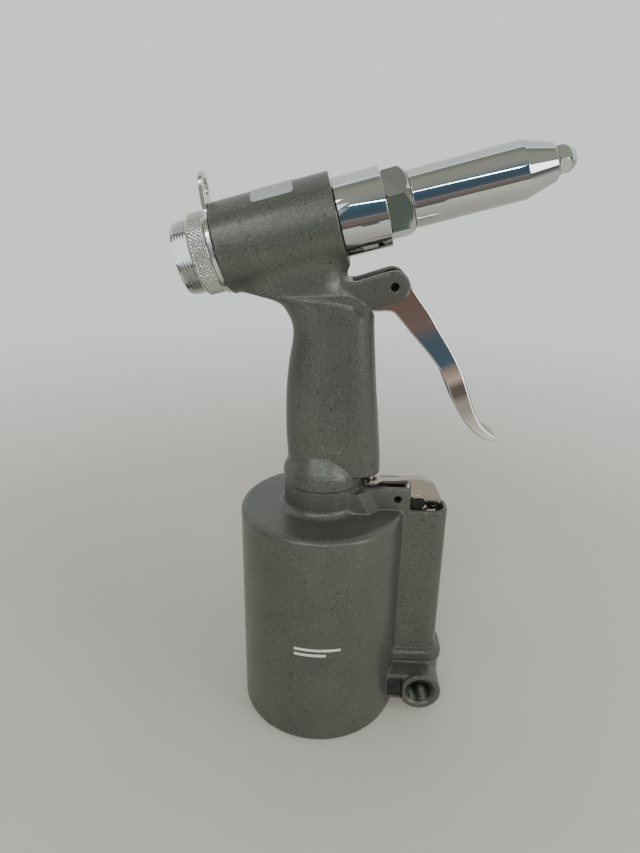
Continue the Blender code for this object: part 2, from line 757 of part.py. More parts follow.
# ---------------------------------------------------------------- trigger and valve train
def trigger(mats):
    """The pressed U-shaped trigger: one skin, a web in front, and an arm to the rod."""
    chrome = mats["chrome"]
    px, pz = TRIGGER_PIVOT
    outer_edge = [
        (35.2, 209.0), (38.8, 204.1), (42.9, 199.0), (46.6, 193.1), (50.3, 187.7),
        (54.0, 182.0), (57.9, 175.1), (60.8, 168.2), (63.0, 162.5), (65.3, 156.6),
        (69.0, 150.4), (73.4, 146.8), (76.2, 144.9),
    ]
    inner_edge = [
        (74.9, 143.1), (71.0, 143.9), (67.6, 145.8), (64.0, 148.8), (60.0, 153.8),
        (55.7, 160.7), (52.0, 168.7), (48.1, 176.0), (42.2, 183.2), (35.4, 190.6),
        (29.6, 197.2), (26.5, 199.4), (20.0, 199.3), (13.6, 200.2), (11.8, 202.4),
        (12.4, 205.0),
    ]
    ring = [(x / MM, z / MM) for x, z in reversed(arc((px, pz), 5.4 * MM, 35, 125, 5))]
    outline = in_mm([(17.5, 208.0), *ring, *outer_edge, *inner_edge])
    body = prism("trigger", outline, -TRIGGER_HALF, TRIGGER_HALF, chrome)
    hollow = in_mm([
        (8.0, 202.4), (20.0, 202.2), (22.0, 196.0), (30.0, 186.0), (45.0, 170.0),
        (57.0, 150.0), (62.4, 152.6), (61.4, 156.8), (59.4, 162.2), (57.4, 167.6),
        (54.6, 174.0), (50.9, 180.7), (47.5, 186.0), (43.8, 191.3), (40.2, 197.0),
        (36.3, 202.2), (33.6, 205.6), (31.0, 219.0), (8.0, 219.0),
    ])
    inner_half = TRIGGER_HALF - TRIGGER_WALL
    inside = prism("hollow", hollow, -inner_half, inner_half, chrome)
    pin_hole = rod("pin_hole", PIN_RADIUS + 0.1 * MM, -12 * MM, 12 * MM, chrome, COARSE)
    across(pin_hole, px, pz)
    slot_x = rod_point(201 * MM) / MM
    rod_slot_outline = [
        *in_mm(arc((slot_x + 2.4, 0.0), 2.1, -90, 90, 5)),
        *in_mm(arc((slot_x - 1.2, 0.0), 2.1, 90, 270, 5)),
    ]
    rod_slot = plate("rod_slot", rod_slot_outline, 195 * MM, 206 * MM, chrome)
    cut(body, inside, pin_hole, rod_slot)
    settle(body, 30.0)
    reach = EAR_HALF - PIN_RECESS
    pin = tube("trigger_pin", PIN_BORE, PIN_RADIUS, -reach, reach, mats["steel"], COARSE)
    across(pin, px, pz)


def pull_rod(mats):
    """The rod in the front of the grip, with a nut at each end."""
    steel = mats["steel"]
    lean = (ROD_FOOT_X, 0.0, ROD_FOOT_Z)
    shaft = rod("pull_rod", ROD_RADIUS, -6.4 * MM, 85.6 * MM, steel, COARSE)
    place(shaft, lean, ROD_TURN)
    nuts = (
        ("rod_top_nut", 80.9 * MM, 83.9 * MM),
        ("rod_foot_nut", -5.3 * MM, -2.8 * MM),
    )
    for name, low, high in nuts:
        nut = plate(name, hexagon(5.5 * MM), low, high, steel)
        cut(nut, rod("bore", ROD_RADIUS + 0.25 * MM, low - 1 * MM, high + 1 * MM, steel, COARSE))
        place(nut, lean, ROD_TURN)


def strip_outline(path, thickness):
    """The outline of a bent strip: its outer line, and that line moved in by its thickness."""
    inner = []
    for i, (x, z) in enumerate(path):
        before = path[max(i - 1, 0)]
        after = path[min(i + 1, len(path) - 1)]
        dx, dz = after[0] - before[0], after[1] - before[1]
        length = math.hypot(dx, dz)
        inner.append((x + thickness * dz / length, z - thickness * dx / length))
    return [*path, *reversed(inner)]


def valve_lever(mats):
    """The steel rocker on the can: a fork on the rod, a hub, and a cheeked hook on the valve."""
    chrome = mats["chrome"]
    px, pz = LEVER_PIVOT
    path = in_mm([
        (27.0, 121.0),
        (33.0, 121.1),
        (36.0, 121.4),
        (40.0, 122.0),
        (43.0, 122.1),
        (45.8, 121.8),
        (48.4, 120.9),
        (51.3, 118.8),
        (53.2, 116.3),
        (54.5, 113.4),
        (54.9, 110.6),
        (54.3, 108.6),
        (52.8, 107.5),
        (50.8, 107.4),
        (49.0, 108.2),
        (47.9, 109.6),
        (47.6, 111.2),
        (46.8, 112.3),
        (45.6, 112.6),
        (42.0, 112.4),
    ])
    strip = strip_outline(path, LEVER_THICKNESS)
    body = prism("valve_lever", strip, -LEVER_HALF, LEVER_HALF, chrome)
    cheek_outline = in_mm([
        (43.5, 121.3),
        (45.6, 121.0),
        (48.0, 120.1),
        (50.7, 118.1),
        (52.5, 115.8),
        (53.8, 113.2),
        (54.2, 110.7),
        (53.7, 109.1),
        (52.5, 108.2),
        (51.0, 108.1),
        (49.5, 108.8),
        (48.6, 109.9),
        (48.3, 111.4),
        (47.2, 113.0),
        (45.7, 113.3),
        (43.5, 113.1),
    ])
    cheek_half = LEVER_HALF - CHEEK_INSET
    cheek = prism("cheek", cheek_outline, -cheek_half, cheek_half, chrome)
    hub_outline = [
        *arc((px, pz), 2.9 * MM, 180, 360, 6),
        (px + 3.8 * MM, 120.8 * MM),
        (px - 4.2 * MM, 120.4 * MM),
    ]
    hub = prism("hub", hub_outline, -LEVER_HALF + HUB_INSET, LEVER_HALF - HUB_INSET, chrome)
    boss = rod("boss", 2.7 * MM, -LEVER_HUB_HALF, LEVER_HUB_HALF, chrome, COARSE)
    across(boss, px, pz)
    fork_side = in_mm([(18.8, -4.6), (24.8, -4.6), (28.4, -1.4), (30.0, -1.4)])
    fork_gap = in_mm([(24.9, 2.1), (18.8, 2.1)])
    fork_plan = [
        *fork_side,
        *[(x, -y) for x, y in reversed(fork_side)],
        *reversed(fork_gap),
        *[(x, -y) for x, y in fork_gap],
    ]
    fork = plate("fork", fork_plan, 119.8 * MM, 120.9 * MM, chrome)
    join(body, cheek, hub, boss, fork)
    pin_hole = rod("pin_hole", PIN_RADIUS + 0.1 * MM, -12 * MM, 12 * MM, chrome, COARSE)
    across(pin_hole, px, pz)
    cut(body, pin_hole)
    settle(body, 30.0)
    reach = CLEVIS_HALF - PIN_RECESS
    pin = tube("lever_pin", PIN_BORE, PIN_RADIUS, -reach, reach, mats["steel"], COARSE)
    across(pin, px, pz)


def valve(mats):
    """The poppet valve that stands in the column, and the inlet and exhaust inserts."""
    steel, brass, rubber = mats["steel"], mats["brass"], mats["rubber"]
    stem = turned(
        "valve_stem",
        in_mm([
            (0.0, 66.0), (2.9, 66.0), (2.9, 70.0), (1.8, 71.5), (1.8, 103.6),
            (3.4, 103.6), (3.4, 106.1), (2.4, 107.0), (0.0, 107.0),
        ]),
        steel,
        COARSE,
    )
    bush = turned(
        "valve_bush",
        in_mm([(2.1, 88.0), (5.7, 88.0), (5.7, 96.2), (4.9, 97.0), (2.1, 97.0)]),
        brass,
        COARSE,
    )
    cage = turned(
        "valve_cage",
        in_mm([(3.3, 62.0), (5.7, 62.0), (5.7, 85.0), (3.3, 85.0)]),
        brass,
        COARSE,
    )
    seal = o_ring("valve_seal", 3.0 * MM, 0.8 * MM, 86.5 * MM, rubber, COARSE)
    spring = coil("valve_spring", 2.6 * MM, 0.5 * MM, 46.0 * MM, 65.6 * MM, 6, steel)
    plug = rod("valve_spring_seat", 5.6 * MM, 41.5 * MM, 45.6 * MM, brass, COARSE)
    for piece in (stem, bush, cage, seal, spring, plug):
        at_x(piece, VALVE_X)
    strainer = rod("inlet_strainer", PORT_BORE - GAP, 6.8 * MM, 7.8 * MM, steel, MEDIUM)
    across(strainer, PORT_X, PORT_Z)
    silencer_outline = in_mm([(34.5, 10.1), (41.1, 10.1), (41.1, 20.3), (34.5, 20.3)])
    prism("exhaust_silencer", silencer_outline, -16.2 * MM, -12.9 * MM, rubber)


def main():
    clear_scene()
    mats = make_materials()
    cylinder_casing(mats)
    cylinder_internals(mats)
    handle_casting(mats)
    handle_fittings(mats)
    head_pieces(mats)
    trigger(mats)
    pull_rod(mats)
    valve_lever(mats)
    valve(mats)


main()
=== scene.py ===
"""Looks of the air-hydraulic hand riveter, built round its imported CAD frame.

Shapes are worked out in millimetres, in the CAD's own axes: +X is the way the nose points,
+Z is up along the air cylinder. "s" runs along the head axis towards the nose, from the
point where that axis crosses the cylinder's, and "u" runs up, square to it.
The two castings are skinned from distance fields, so that their edges round and blend as
cast metal does. Everything else is turned, bent or lofted in mesh code.
"""

import json
import math

import bmesh
import bpy
import numpy as np
from mathutils import Matrix, Vector


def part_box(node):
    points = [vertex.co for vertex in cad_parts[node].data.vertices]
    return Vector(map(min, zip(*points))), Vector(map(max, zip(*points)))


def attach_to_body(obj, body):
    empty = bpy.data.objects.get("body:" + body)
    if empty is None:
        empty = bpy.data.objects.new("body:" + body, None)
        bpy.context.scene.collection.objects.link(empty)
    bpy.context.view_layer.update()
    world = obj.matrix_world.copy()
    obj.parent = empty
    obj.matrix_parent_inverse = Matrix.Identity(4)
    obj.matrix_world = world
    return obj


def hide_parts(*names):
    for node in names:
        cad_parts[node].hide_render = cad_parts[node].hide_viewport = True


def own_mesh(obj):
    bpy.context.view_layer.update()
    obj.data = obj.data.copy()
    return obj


MM = 0.001

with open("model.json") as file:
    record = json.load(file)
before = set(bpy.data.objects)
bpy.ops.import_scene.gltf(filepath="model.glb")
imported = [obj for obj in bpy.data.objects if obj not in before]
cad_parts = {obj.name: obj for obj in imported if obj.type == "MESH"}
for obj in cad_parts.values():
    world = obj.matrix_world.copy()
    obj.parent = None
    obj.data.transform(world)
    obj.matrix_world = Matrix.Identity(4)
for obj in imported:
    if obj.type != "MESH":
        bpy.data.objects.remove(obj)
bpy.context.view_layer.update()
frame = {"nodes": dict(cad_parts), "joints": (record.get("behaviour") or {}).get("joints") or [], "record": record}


# ---- sizes from the frame
def size_of(node):
    low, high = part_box(node)
    return low / MM, high / MM


def joint(name):
    return next(j for j in frame["joints"] if j["name"] == name)


CASE_LOW, CASE_HIGH = size_of("cylinder_casing")
CAN_RADIUS = CASE_HIGH.y
CAN_BORE = size_of("cylinder_cap")[1].y + 0.3
NECK_TOP = CASE_HIGH.z
CAN_TOP = 109.0
COLUMN_HALF = 8.2
COLUMN_MIDDLE = 44.1
COLUMN_REACH = 14.1
COLUMN_TOP = 108.5
STEM_X = (size_of("valve_stem")[0].x + size_of("valve_stem")[1].x) / 2
PORT_Z = 14.3
PORT_FACE = 20.0
PORT_RADIUS = 10.1
PORT_BORE = 5.72
PORT_PITCH = 1.34
NECK_RADIUS = 17.6
CLEVIS_TOP = 119.0
CLEVIS_BACK = 8.0
PIN_BORE = 1.65
HANDLE_FOOT = 121.5

HEAD_PULL = Vector(joint("head_pull")["axis"])
HEAD_TILT = math.atan2(-HEAD_PULL.z, -HEAD_PULL.x)
TILT_COS = math.cos(HEAD_TILT)
TILT_SIN = math.sin(HEAD_TILT)
SEAL_MIDDLE = (size_of("head_piston_seal")[0] + size_of("head_piston_seal")[1]) / 2
HEAD_HEIGHT = SEAL_MIDDLE.z - SEAL_MIDDLE.x * math.tan(HEAD_TILT)
BARREL_RADIUS = 18.35
BARREL_REAR = -44.0
BARREL_FRONT = 4.3

TRIGGER_X, _, TRIGGER_Z = (value / MM for value in joint("trigger_squeeze")["pos_m"])
LEVER_X, _, LEVER_Z = (value / MM for value in joint("lever_rock")["pos_m"])
ROD_AXIS = Vector(joint("pull_rod_slide")["axis"])
ROD_FOOT = Vector((22.0, 0.0, 122.0))
HANGER_BEND = 0.15
CAMERA_PLACE = Vector((3.40, -260.73, 246.30))
TAIL_FLAT_TURN = math.radians(-17.0)
FLOOR_Z = CASE_LOW.z


# ---- materials
def new_material(name, colour, roughness, metallic):
    """A Principled material, and its node tree and shader."""
    made = bpy.data.materials.new(name)
    made.use_nodes = True
    tree = made.node_tree
    shader = tree.nodes["Principled BSDF"]
    shader.inputs["Base Color"].default_value = (*colour, 1.0)
    shader.inputs["Roughness"].default_value = roughness
    shader.inputs["Metallic"].default_value = metallic
    return made, tree, shader


def new_node(tree, kind, values, feeds):
    """A shader node, with its inputs' values and the outputs that feed its inputs."""
    made = tree.nodes.new(kind)
    for key, value in values.items():
        made.inputs[key].default_value = value
    for key, source in feeds.items():
        tree.links.new(source, made.inputs[key])
    return made


def object_place(tree):
    return tree.nodes.new("ShaderNodeTexCoord").outputs["Object"]


def noise(tree, scale, detail, roughness=0.5):
    """Noise fixed to the piece; scale is in features per metre."""
    values = {"Scale": scale, "Detail": detail, "Roughness": roughness}
    made = new_node(tree, "ShaderNodeTexNoise", values, {"Vector": object_place(tree)})
    return made.outputs["Fac"]


def ramp(tree, value, stops):
    """Maps a value to a colour through (position, colour) stops."""
    made = tree.nodes.new("ShaderNodeValToRGB")
    points = made.color_ramp.elements
    while len(points) < len(stops):
        points.new(0.5)
    for point, (position, colour) in zip(points, stops):
        point.position = position
        point.color = (*colour, 1.0)
    tree.links.new(value, made.inputs["Fac"])
    return made.outputs["Color"]


def spread(tree, value, low, high):
    """Maps noise, which keeps near its middle, to the range low to high."""
    values = {"From Min": 0.3, "From Max": 0.7, "To Min": low, "To Max": high}
    return new_node(tree, "ShaderNodeMapRange", values, {"Value": value}).outputs["Result"]


def multiply(tree, first, second):
    made = tree.nodes.new("ShaderNodeMix")
    made.data_type = "RGBA"
    made.blend_type = "MULTIPLY"
    made.inputs["Factor"].default_value = 1.0
    tree.links.new(first, made.inputs["A"])
    tree.links.new(second, made.inputs["B"])
    return made.outputs["Result"]


def blend(tree, share, first, second):
    """Mixes two shaders: none of the second at 0, all of it at 1."""
    feeds = {"Fac": share, 1: first, 2: second}
    return new_node(tree, "ShaderNodeMixShader", {}, feeds).outputs["Shader"]


def bump(tree, shader, height, depth, strength, under=None):
    """Raises the surface by height times depth; depth is in metres."""
    values = {"Distance": depth, "Strength": strength}
    made = new_node(tree, "ShaderNodeBump", values, {"Height": height})
    if under is not None:
        tree.links.new(under, made.inputs["Normal"])
    tree.links.new(made.outputs["Normal"], shader.inputs["Normal"])
    return made.outputs["Normal"]


def hammertone(name):
    """Grey hammer-finish paint: fine flake speckle, sparse dark pits, an orange-peel gloss."""
    made, tree, shader = new_material(name, (0.10, 0.10, 0.09), 0.34, 0.5)
    flakes = [
        (0.30, (0.066, 0.069, 0.060)),
        (0.48, (0.090, 0.093, 0.082)),
        (0.60, (0.112, 0.115, 0.103)),
        (0.74, (0.19, 0.193, 0.178)),
    ]
    speckle = ramp(tree, noise(tree, 1900.0, 2.0, 0.6), flakes)
    pits = ramp(tree, noise(tree, 520.0, 2.0), [(0.27, (0.45, 0.44, 0.41)), (0.33, (1.0, 1.0, 1.0))])
    cloud = ramp(tree, noise(tree, 50.0, 3.0), [(0.3, (0.86, 0.87, 0.87)), (0.7, (1.0, 1.0, 0.99))])
    colour = multiply(tree, multiply(tree, speckle, pits), cloud)
    tree.links.new(colour, shader.inputs["Base Color"])
    tree.links.new(spread(tree, noise(tree, 900.0, 3.0), 0.27, 0.42), shader.inputs["Roughness"])
    peel = bump(tree, shader, noise(tree, 520.0, 2.0), 0.00012, 0.4)
    bump(tree, shader, noise(tree, 1900.0, 2.0), 0.00005, 0.7, peel)
    shader.inputs["Specular IOR Level"].default_value = 0.35
    shader.inputs["Coat Weight"].default_value = 0.12
    shader.inputs["Coat Roughness"].default_value = 0.2
    return made


def cloud_tint(tree, shader, scale, detail, colour, darkest):
    """Base colour that drifts between the colour and a darker share of it."""
    stops = [(0.3, tuple(darkest * c for c in colour)), (0.7, colour)]
    tree.links.new(ramp(tree, noise(tree, scale, detail), stops), shader.inputs["Base Color"])


def polished(name, colour, low, high, haze=0.0000006):
    """Plated or polished metal with a faint haze and fine handling marks."""
    made, tree, shader = new_material(name, colour, low, 1.0)
    smear = noise(tree, 70.0, 4.0, 0.6)
    tree.links.new(spread(tree, smear, low, high), shader.inputs["Roughness"])
    cloud_tint(tree, shader, 35.0, 2.0, colour, 0.95)
    bump(tree, shader, noise(tree, 260.0, 3.0), haze, 1.0)
    return made


def machined(name, colour, roughness):
    """Turned metal: fine tool marks and a little uneven tone."""
    made, tree, shader = new_material(name, colour, roughness, 1.0)
    cloud_tint(tree, shader, 120.0, 3.0, colour, 0.78)
    wear = spread(tree, noise(tree, 300.0, 3.0), roughness - 0.06, roughness + 0.08)
    tree.links.new(wear, shader.inputs["Roughness"])
    bump(tree, shader, noise(tree, 2600.0, 2.0), 0.00002, 0.5)
    return made


def soft_black(name):
    """Moulded rubber: matt, a little dusty, with a fine grain."""
    made, tree, shader = new_material(name, (0.02, 0.02, 0.02), 0.7, 0.0)
    dust = ramp(tree, noise(tree, 160.0, 4.0), [(0.35, (0.012, 0.012, 0.012)), (0.7, (0.04, 0.04, 0.038))])
    tree.links.new(dust, shader.inputs["Base Color"])
    bump(tree, shader, noise(tree, 1800.0, 2.0), 0.00003, 0.6)
    return made


def foil(name, colour):
    """Printed silver foil, for the blank label."""
    made, tree, shader = new_material(name, colour, 0.42, 0.25)
    cloud_tint(tree, shader, 90.0, 3.0, colour, 0.9)
    bump(tree, shader, noise(tree, 700.0, 2.0), 0.00001, 0.5)
    return made


def make_materials():
    return {
        "grey_paint": hammertone("grey_paint"),
        "chrome": polished("chrome", (0.60, 0.61, 0.605), 0.03, 0.07),
        "nickel": polished("nickel", (0.64, 0.64, 0.62), 0.12, 0.22, 0.00001),
        "steel": machined("steel", (0.56, 0.55, 0.53), 0.28),
        "aluminium": machined("aluminium", (0.66, 0.66, 0.66), 0.34),
        # The valve lever's chrome, tinted brown: a painted reflection of the painted can it curls over.
        "chrome_with_painted_brown_reflection": polished("chrome_with_painted_brown_reflection", (0.42, 0.375, 0.325), 0.12, 0.22),
        # Near-black steel for the roll pins: painted shade, so their ends read as the dark inside the pin holes.
        "pin_hole_painted_shade": machined("pin_hole_painted_shade", (0.03, 0.03, 0.03), 0.45),
        # A dark olive-grey metal, used on the inlet's thread.
        "dark_olive_metal": machined("dark_olive_metal", (0.115, 0.125, 0.11), 0.4),
        "brass": machined("brass", (0.66, 0.48, 0.20), 0.28),
        "rubber": soft_black("rubber"),
        "label": foil("label", (0.36, 0.385, 0.38)),
        "print": foil("print", (0.60, 0.60, 0.56)),
    }


MATERIALS = make_materials()


def coat(obj, finish):
    obj.data.materials.clear()
    obj.data.materials.append(MATERIALS[finish])
    return obj


def attach(obj, body, slot, finish, *nodes):
    """Gives a piece its material and its body, and hides the nodes it stands for; the slot argument is not used.
    """
    coat(obj, finish)
    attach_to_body(obj, body)
    if nodes:
        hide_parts(*nodes)
    return obj


# ---- mesh tools
def linked(name, data):
    """A new object of the data, linked to the scene."""
    obj = bpy.data.objects.new(name, data)
    bpy.context.scene.collection.objects.link(obj)
    return obj


def object_of(bm, name, smooth_angle=32.0):
    """Turns a bmesh in millimetres into an object in metres."""
    bmesh.ops.remove_doubles(bm, verts=bm.verts, dist=1e-4)
    bmesh.ops.recalc_face_normals(bm, faces=bm.faces)
    bmesh.ops.scale(bm, verts=bm.verts, vec=(MM, MM, MM))
    mesh = bpy.data.meshes.new(name)
    bm.to_mesh(mesh)
    bm.free()
    mesh.shade_smooth()
    mesh.set_sharp_from_angle(angle=math.radians(smooth_angle))
    return linked(name, mesh)


def loft(name, rings, closed=True, capped=True, smooth_angle=32.0):
    """A skin over rings of the same count; capped closes its two ends."""
    bm = bmesh.new()
    made = [[bm.verts.new(point) for point in ring] for ring in rings]
    count = len(rings[0])
    turns = count if closed else count - 1
    for low, high in zip(made, made[1:]):
        for i in range(turns):
            j = (i + 1) % count
            bm.faces.new((low[i], low[j], high[j], high[i]))
    if capped:
        bm.faces.new(made[0])
        bm.faces.new(made[-1])
    return object_of(bm, name, smooth_angle)


def apply_modifiers(obj):
    """Replaces an object's mesh by what its modifiers make of it."""
    bpy.context.view_layer.update()
    evaluated = obj.evaluated_get(bpy.context.evaluated_depsgraph_get())
    made = bpy.data.meshes.new_from_object(evaluated)
    obj.modifiers.clear()
    obj.data = made
    return obj


def boolean(target, other, operation="DIFFERENCE"):
    modifier = target.modifiers.new("cut", "BOOLEAN")
    modifier.operation = operation
    modifier.object = other
    apply_modifiers(target)
    bpy.data.objects.remove(other)
    return target


def even_normals(obj, sharp=40.0):
    """Smooth shading that keeps wide flat faces flat."""
    obj.data.shade_smooth()
    obj.data.set_sharp_from_angle(angle=math.radians(sharp))
    modifier = obj.modifiers.new("normals", "WEIGHTED_NORMAL")
    modifier.keep_sharp = True
    return apply_modifiers(obj)


def bevelled(obj, width, segments, angle=32.0):
    """Rounds every edge sharper than the angle; width is in millimetres."""
    modifier = obj.modifiers.new("bevel", "BEVEL")
    modifier.width = width * MM
    modifier.segments = segments
    modifier.limit_method = "ANGLE"
    modifier.angle_limit = math.radians(angle)
    apply_modifiers(obj)
    return even_normals(obj)


def arc(centre, radius, start, end, steps):
    """Points on an arc, in degrees, both ends included."""
    angles = [math.radians(start + (end - start) * i / steps) for i in range(steps + 1)]
    return [(centre[0] + radius * math.cos(a), centre[1] + radius * math.sin(a)) for a in angles]


def eased(points, radius, steps=4):
    """A closed outline with each corner rounded by up to the radius."""
    made = []
    for i, corner in enumerate(points):
        here = Vector(corner)
        before = Vector(points[i - 1]) - here
        after = Vector(points[(i + 1) % len(points)]) - here
        reach = min(radius, before.length * 0.45, after.length * 0.45)
        start = here + before.normalized() * reach
        end = here + after.normalized() * reach
        for k in range(steps + 1):
            t = k / steps
            point = start * (1 - t) ** 2 + here * 2 * t * (1 - t) + end * t**2
            made.append(tuple(point))
    return made


def smooth_line(points, steps):
    """A curve through given points, with steps points between neighbours."""
    ends = [points[0], *points, points[-1]]
    made = []
    for a, b, c, d in zip(ends, ends[1:], ends[2:], ends[3:]):
        a, b, c, d = Vector(a), Vector(b), Vector(c), Vector(d)
        square = 2 * a - 5 * b + 4 * c - d
        cube = 3 * b - a - 3 * c + d
        for k in range(steps):
            t = k / steps
            made.append(tuple(0.5 * (2 * b + (c - a) * t + square * t**2 + cube * t**3)))
    return [*made, tuple(points[-1])]


def ring_of(radius, height, around):
    angles = [math.tau * k / around for k in range(around)]
    return [(radius * math.cos(a), radius * math.sin(a), height) for a in angles]


def carved(around, rows, low, high, radius_at):
    """Rings from low to high; radius_at takes the share of a turn, the height and the row."""
    rings = []
    for i in range(rows + 1):
        height = low + (high - low) * i / rows
        ring = []
        for k in range(around):
            turn = math.tau * k / around
            r = radius_at(k / around, height, i)
            ring.append((r * math.cos(turn), r * math.sin(turn), height))
        rings.append(ring)
    return rings


def turned(name, outline, segments=144, ease=0.25):
    """A lathe-turned piece about Z from a closed (radius, height) outline."""
    profile = eased(outline, ease)
    rings = [ring_of(r, h, segments) for r, h in [*profile, profile[0]]]
    return loft(name, rings, capped=False)


def on_head(obj):
    """Moves a piece that was made about Z onto the head axis, nose end up."""
    turn = Matrix.Rotation(math.pi / 2 - HEAD_TILT, 4, "Y")
    obj.data.transform(Matrix.Translation((0.0, 0.0, HEAD_HEIGHT * MM)) @ turn)
    return obj


def shifted(obj, x, y, z):
    obj.data.transform(Matrix.Translation((x * MM, y * MM, z * MM)))
    return obj


def across(obj, x, z):
    """Moves a piece that was made about Z onto a line along Y, its top at -Y."""
    obj.data.transform(Matrix.Rotation(math.pi / 2, 4, "X"))
    return shifted(obj, x, 0.0, z)


def hexagon(across_flats, turn):
    corner = across_flats / math.sqrt(3)
    angles = [turn + k * math.pi / 3 for k in range(6)]
    return [(corner * math.cos(a), corner * math.sin(a)) for a in angles]


def column_of(name, outline, low, high):
    """An (x, y) outline extruded up Z."""
    return loft(name, [[(x, y, z) for x, y in outline] for z in (low, high)])


def round_bar(name, radius, sides, half):
    """A bar about Z that reaches half each way."""
    return column_of(name, arc((0.0, 0.0), radius, 0, 360 - 360 / sides, sides - 1), -half, half)


def slab(name, outline, near, far):
    """An (x, z) outline extruded along Y."""
    return loft(name, [[(x, y, z) for x, z in outline] for y in (near, far)])


# ---- distance fields
def either(a, b, fillet):
    """Union of two fields with a concave fillet between them."""
    inner = np.hypot(np.maximum(fillet - a, 0), np.maximum(fillet - b, 0))
    return np.maximum(np.minimum(a, b), fillet) - inner


def both(a, b, edge):
    """Intersection of two fields, its edges rounded."""
    outer = np.hypot(np.maximum(a + edge, 0), np.maximum(b + edge, 0))
    return np.minimum(np.maximum(a, b), -edge) + outer


def without(a, b, edge):
    return both(a, -b, edge)


def between(value, low, high):
    """A slab: negative where value lies between low and high."""
    return np.abs(value - (low + high) / 2) - (high - low) / 2


def rounded_plan(x, y, half_x, half_y, corner):
    """A rectangle about the origin with rounded corners."""
    dx = np.abs(x) - half_x + corner
    dy = np.abs(y) - half_y + corner
    outside = np.hypot(np.maximum(dx, 0), np.maximum(dy, 0))
    return outside + np.minimum(np.maximum(dx, dy), 0) - corner


def polygon(x, z, outline):
    """Distance to a closed outline in the XZ plane, negative inside."""
    nearest = np.full(np.shape(x), 1e9)
    sign = np.ones(np.shape(x))
    for (ax, az), (bx, bz) in zip(outline, [*outline[1:], outline[0]]):
        ex, ez = bx - ax, bz - az
        wx, wz = x - ax, z - az
        t = np.clip((wx * ex + wz * ez) / (ex * ex + ez * ez), 0, 1)
        nearest = np.minimum(nearest, (wx - ex * t) ** 2 + (wz - ez * t) ** 2)
        above, below = z >= az, z < bz
        left = ex * wz > ez * wx
        crosses = (above & below & left) | ~(above | below | left)
        sign = np.where(crosses, -sign, sign)
    return sign * np.sqrt(nearest)


def head_frame(x, z):
    """(s, u) of a point: along the head axis, and up square to it."""
    lift = z - HEAD_HEIGHT
    return x * TILT_COS + lift * TILT_SIN, lift * TILT_COS - x * TILT_SIN


def rod_distance(x, y, z):
    """Distance from the pull rod's line."""
    away = (x - ROD_FOOT.x) * ROD_AXIS.z - (z - ROD_FOOT.z) * ROD_AXIS.x
    return np.hypot(away, y)


def sampled(field, axes):
    """The field on a grid, worked out a few planes at a time."""
    grid = np.empty([len(a) for a in axes], np.float32)
    planes = 8
    for i in range(0, len(axes[0]), planes):
        x, y, z = np.meshgrid(axes[0][i : i + planes], axes[1], axes[2], indexing="ij")
        grid[i : i + planes] = field(x, y, z)
    return grid


def net_of(grid):
    """Quads round every sign change of a grid, one point for each cell they cross."""
    shape = np.array(grid.shape) - 1
    total = int(np.prod(shape))
    sums, counts, quads = np.zeros((3, total)), np.zeros(total), []
    for axis in range(3):
        others = [a for a in range(3) if a != axis]
        step = np.eye(3, dtype=int)[axis]
        low = grid[tuple(slice(0, -1) if a == axis else slice(None) for a in range(3))]
        high = grid[tuple(slice(1, None) if a == axis else slice(None) for a in range(3))]
        at = np.argwhere((low < 0) != (high < 0))
        at = at[((at[:, others] > 0) & (at[:, others] < shape[others])).all(1)]
        start, end = grid[tuple(at.T)], grid[tuple((at + step).T)]
        point = at + step * (start / (start - end))[:, None]
        corners = []
        for du, dv in ((0, 0), (1, 0), (1, 1), (0, 1)):
            cell = at.copy()
            cell[:, others[0]] -= du
            cell[:, others[1]] -= dv
            index = np.ravel_multi_index(cell.T, shape)
            corners.append(index)
            counts += np.bincount(index, minlength=total)
            for k in range(3):
                sums[k] += np.bincount(index, weights=point[:, k], minlength=total)
        quad = np.stack(corners, 1)
        turned_round = (start < 0) == (axis == 1)
        quad[turned_round] = quad[turned_round][:, ::-1]
        quads.append(quad)
    used = np.flatnonzero(counts)
    renumber = np.zeros(total, int)
    renumber[used] = np.arange(len(used))
    return (sums[:, used] / counts[used]).T, renumber[np.concatenate(quads)]


def gradient(field, points):
    """The field's slope at the points, from points a little to each side."""
    reach = 0.04
    sides = []
    for step in np.eye(3) * reach:
        sides.append((field(*(points + step).T) - field(*(points - step).T)) / (2 * reach))
    return np.stack(sides, 1)


def skinned(name, field, low, high, step):
    """A mesh over the field's zero surface, its points pulled onto it."""
    axes = [np.arange(a - 1.5 * step, b + 2.5 * step, step) for a, b in zip(low, high)]
    points, quads = net_of(sampled(field, axes))
    points = points * step + np.array([a[0] for a in axes])
    for _ in range(3):
        slope = gradient(field, points)
        steep = np.maximum((slope**2).sum(1), 0.2)
        move = -slope * (field(*points.T) / steep)[:, None]
        points = points + np.clip(move, -0.3 * step, 0.3 * step)
    slope = gradient(field, points)
    normals = slope / np.maximum(np.linalg.norm(slope, axis=1), 1e-6)[:, None]
    mesh = bpy.data.meshes.new(name)
    mesh.from_pydata((points * MM).tolist(), [], quads.tolist())
    mesh.validate()
    mesh.shade_smooth()
    mesh.normals_split_custom_set_from_vertices(normals.tolist())
    return linked(name, mesh)


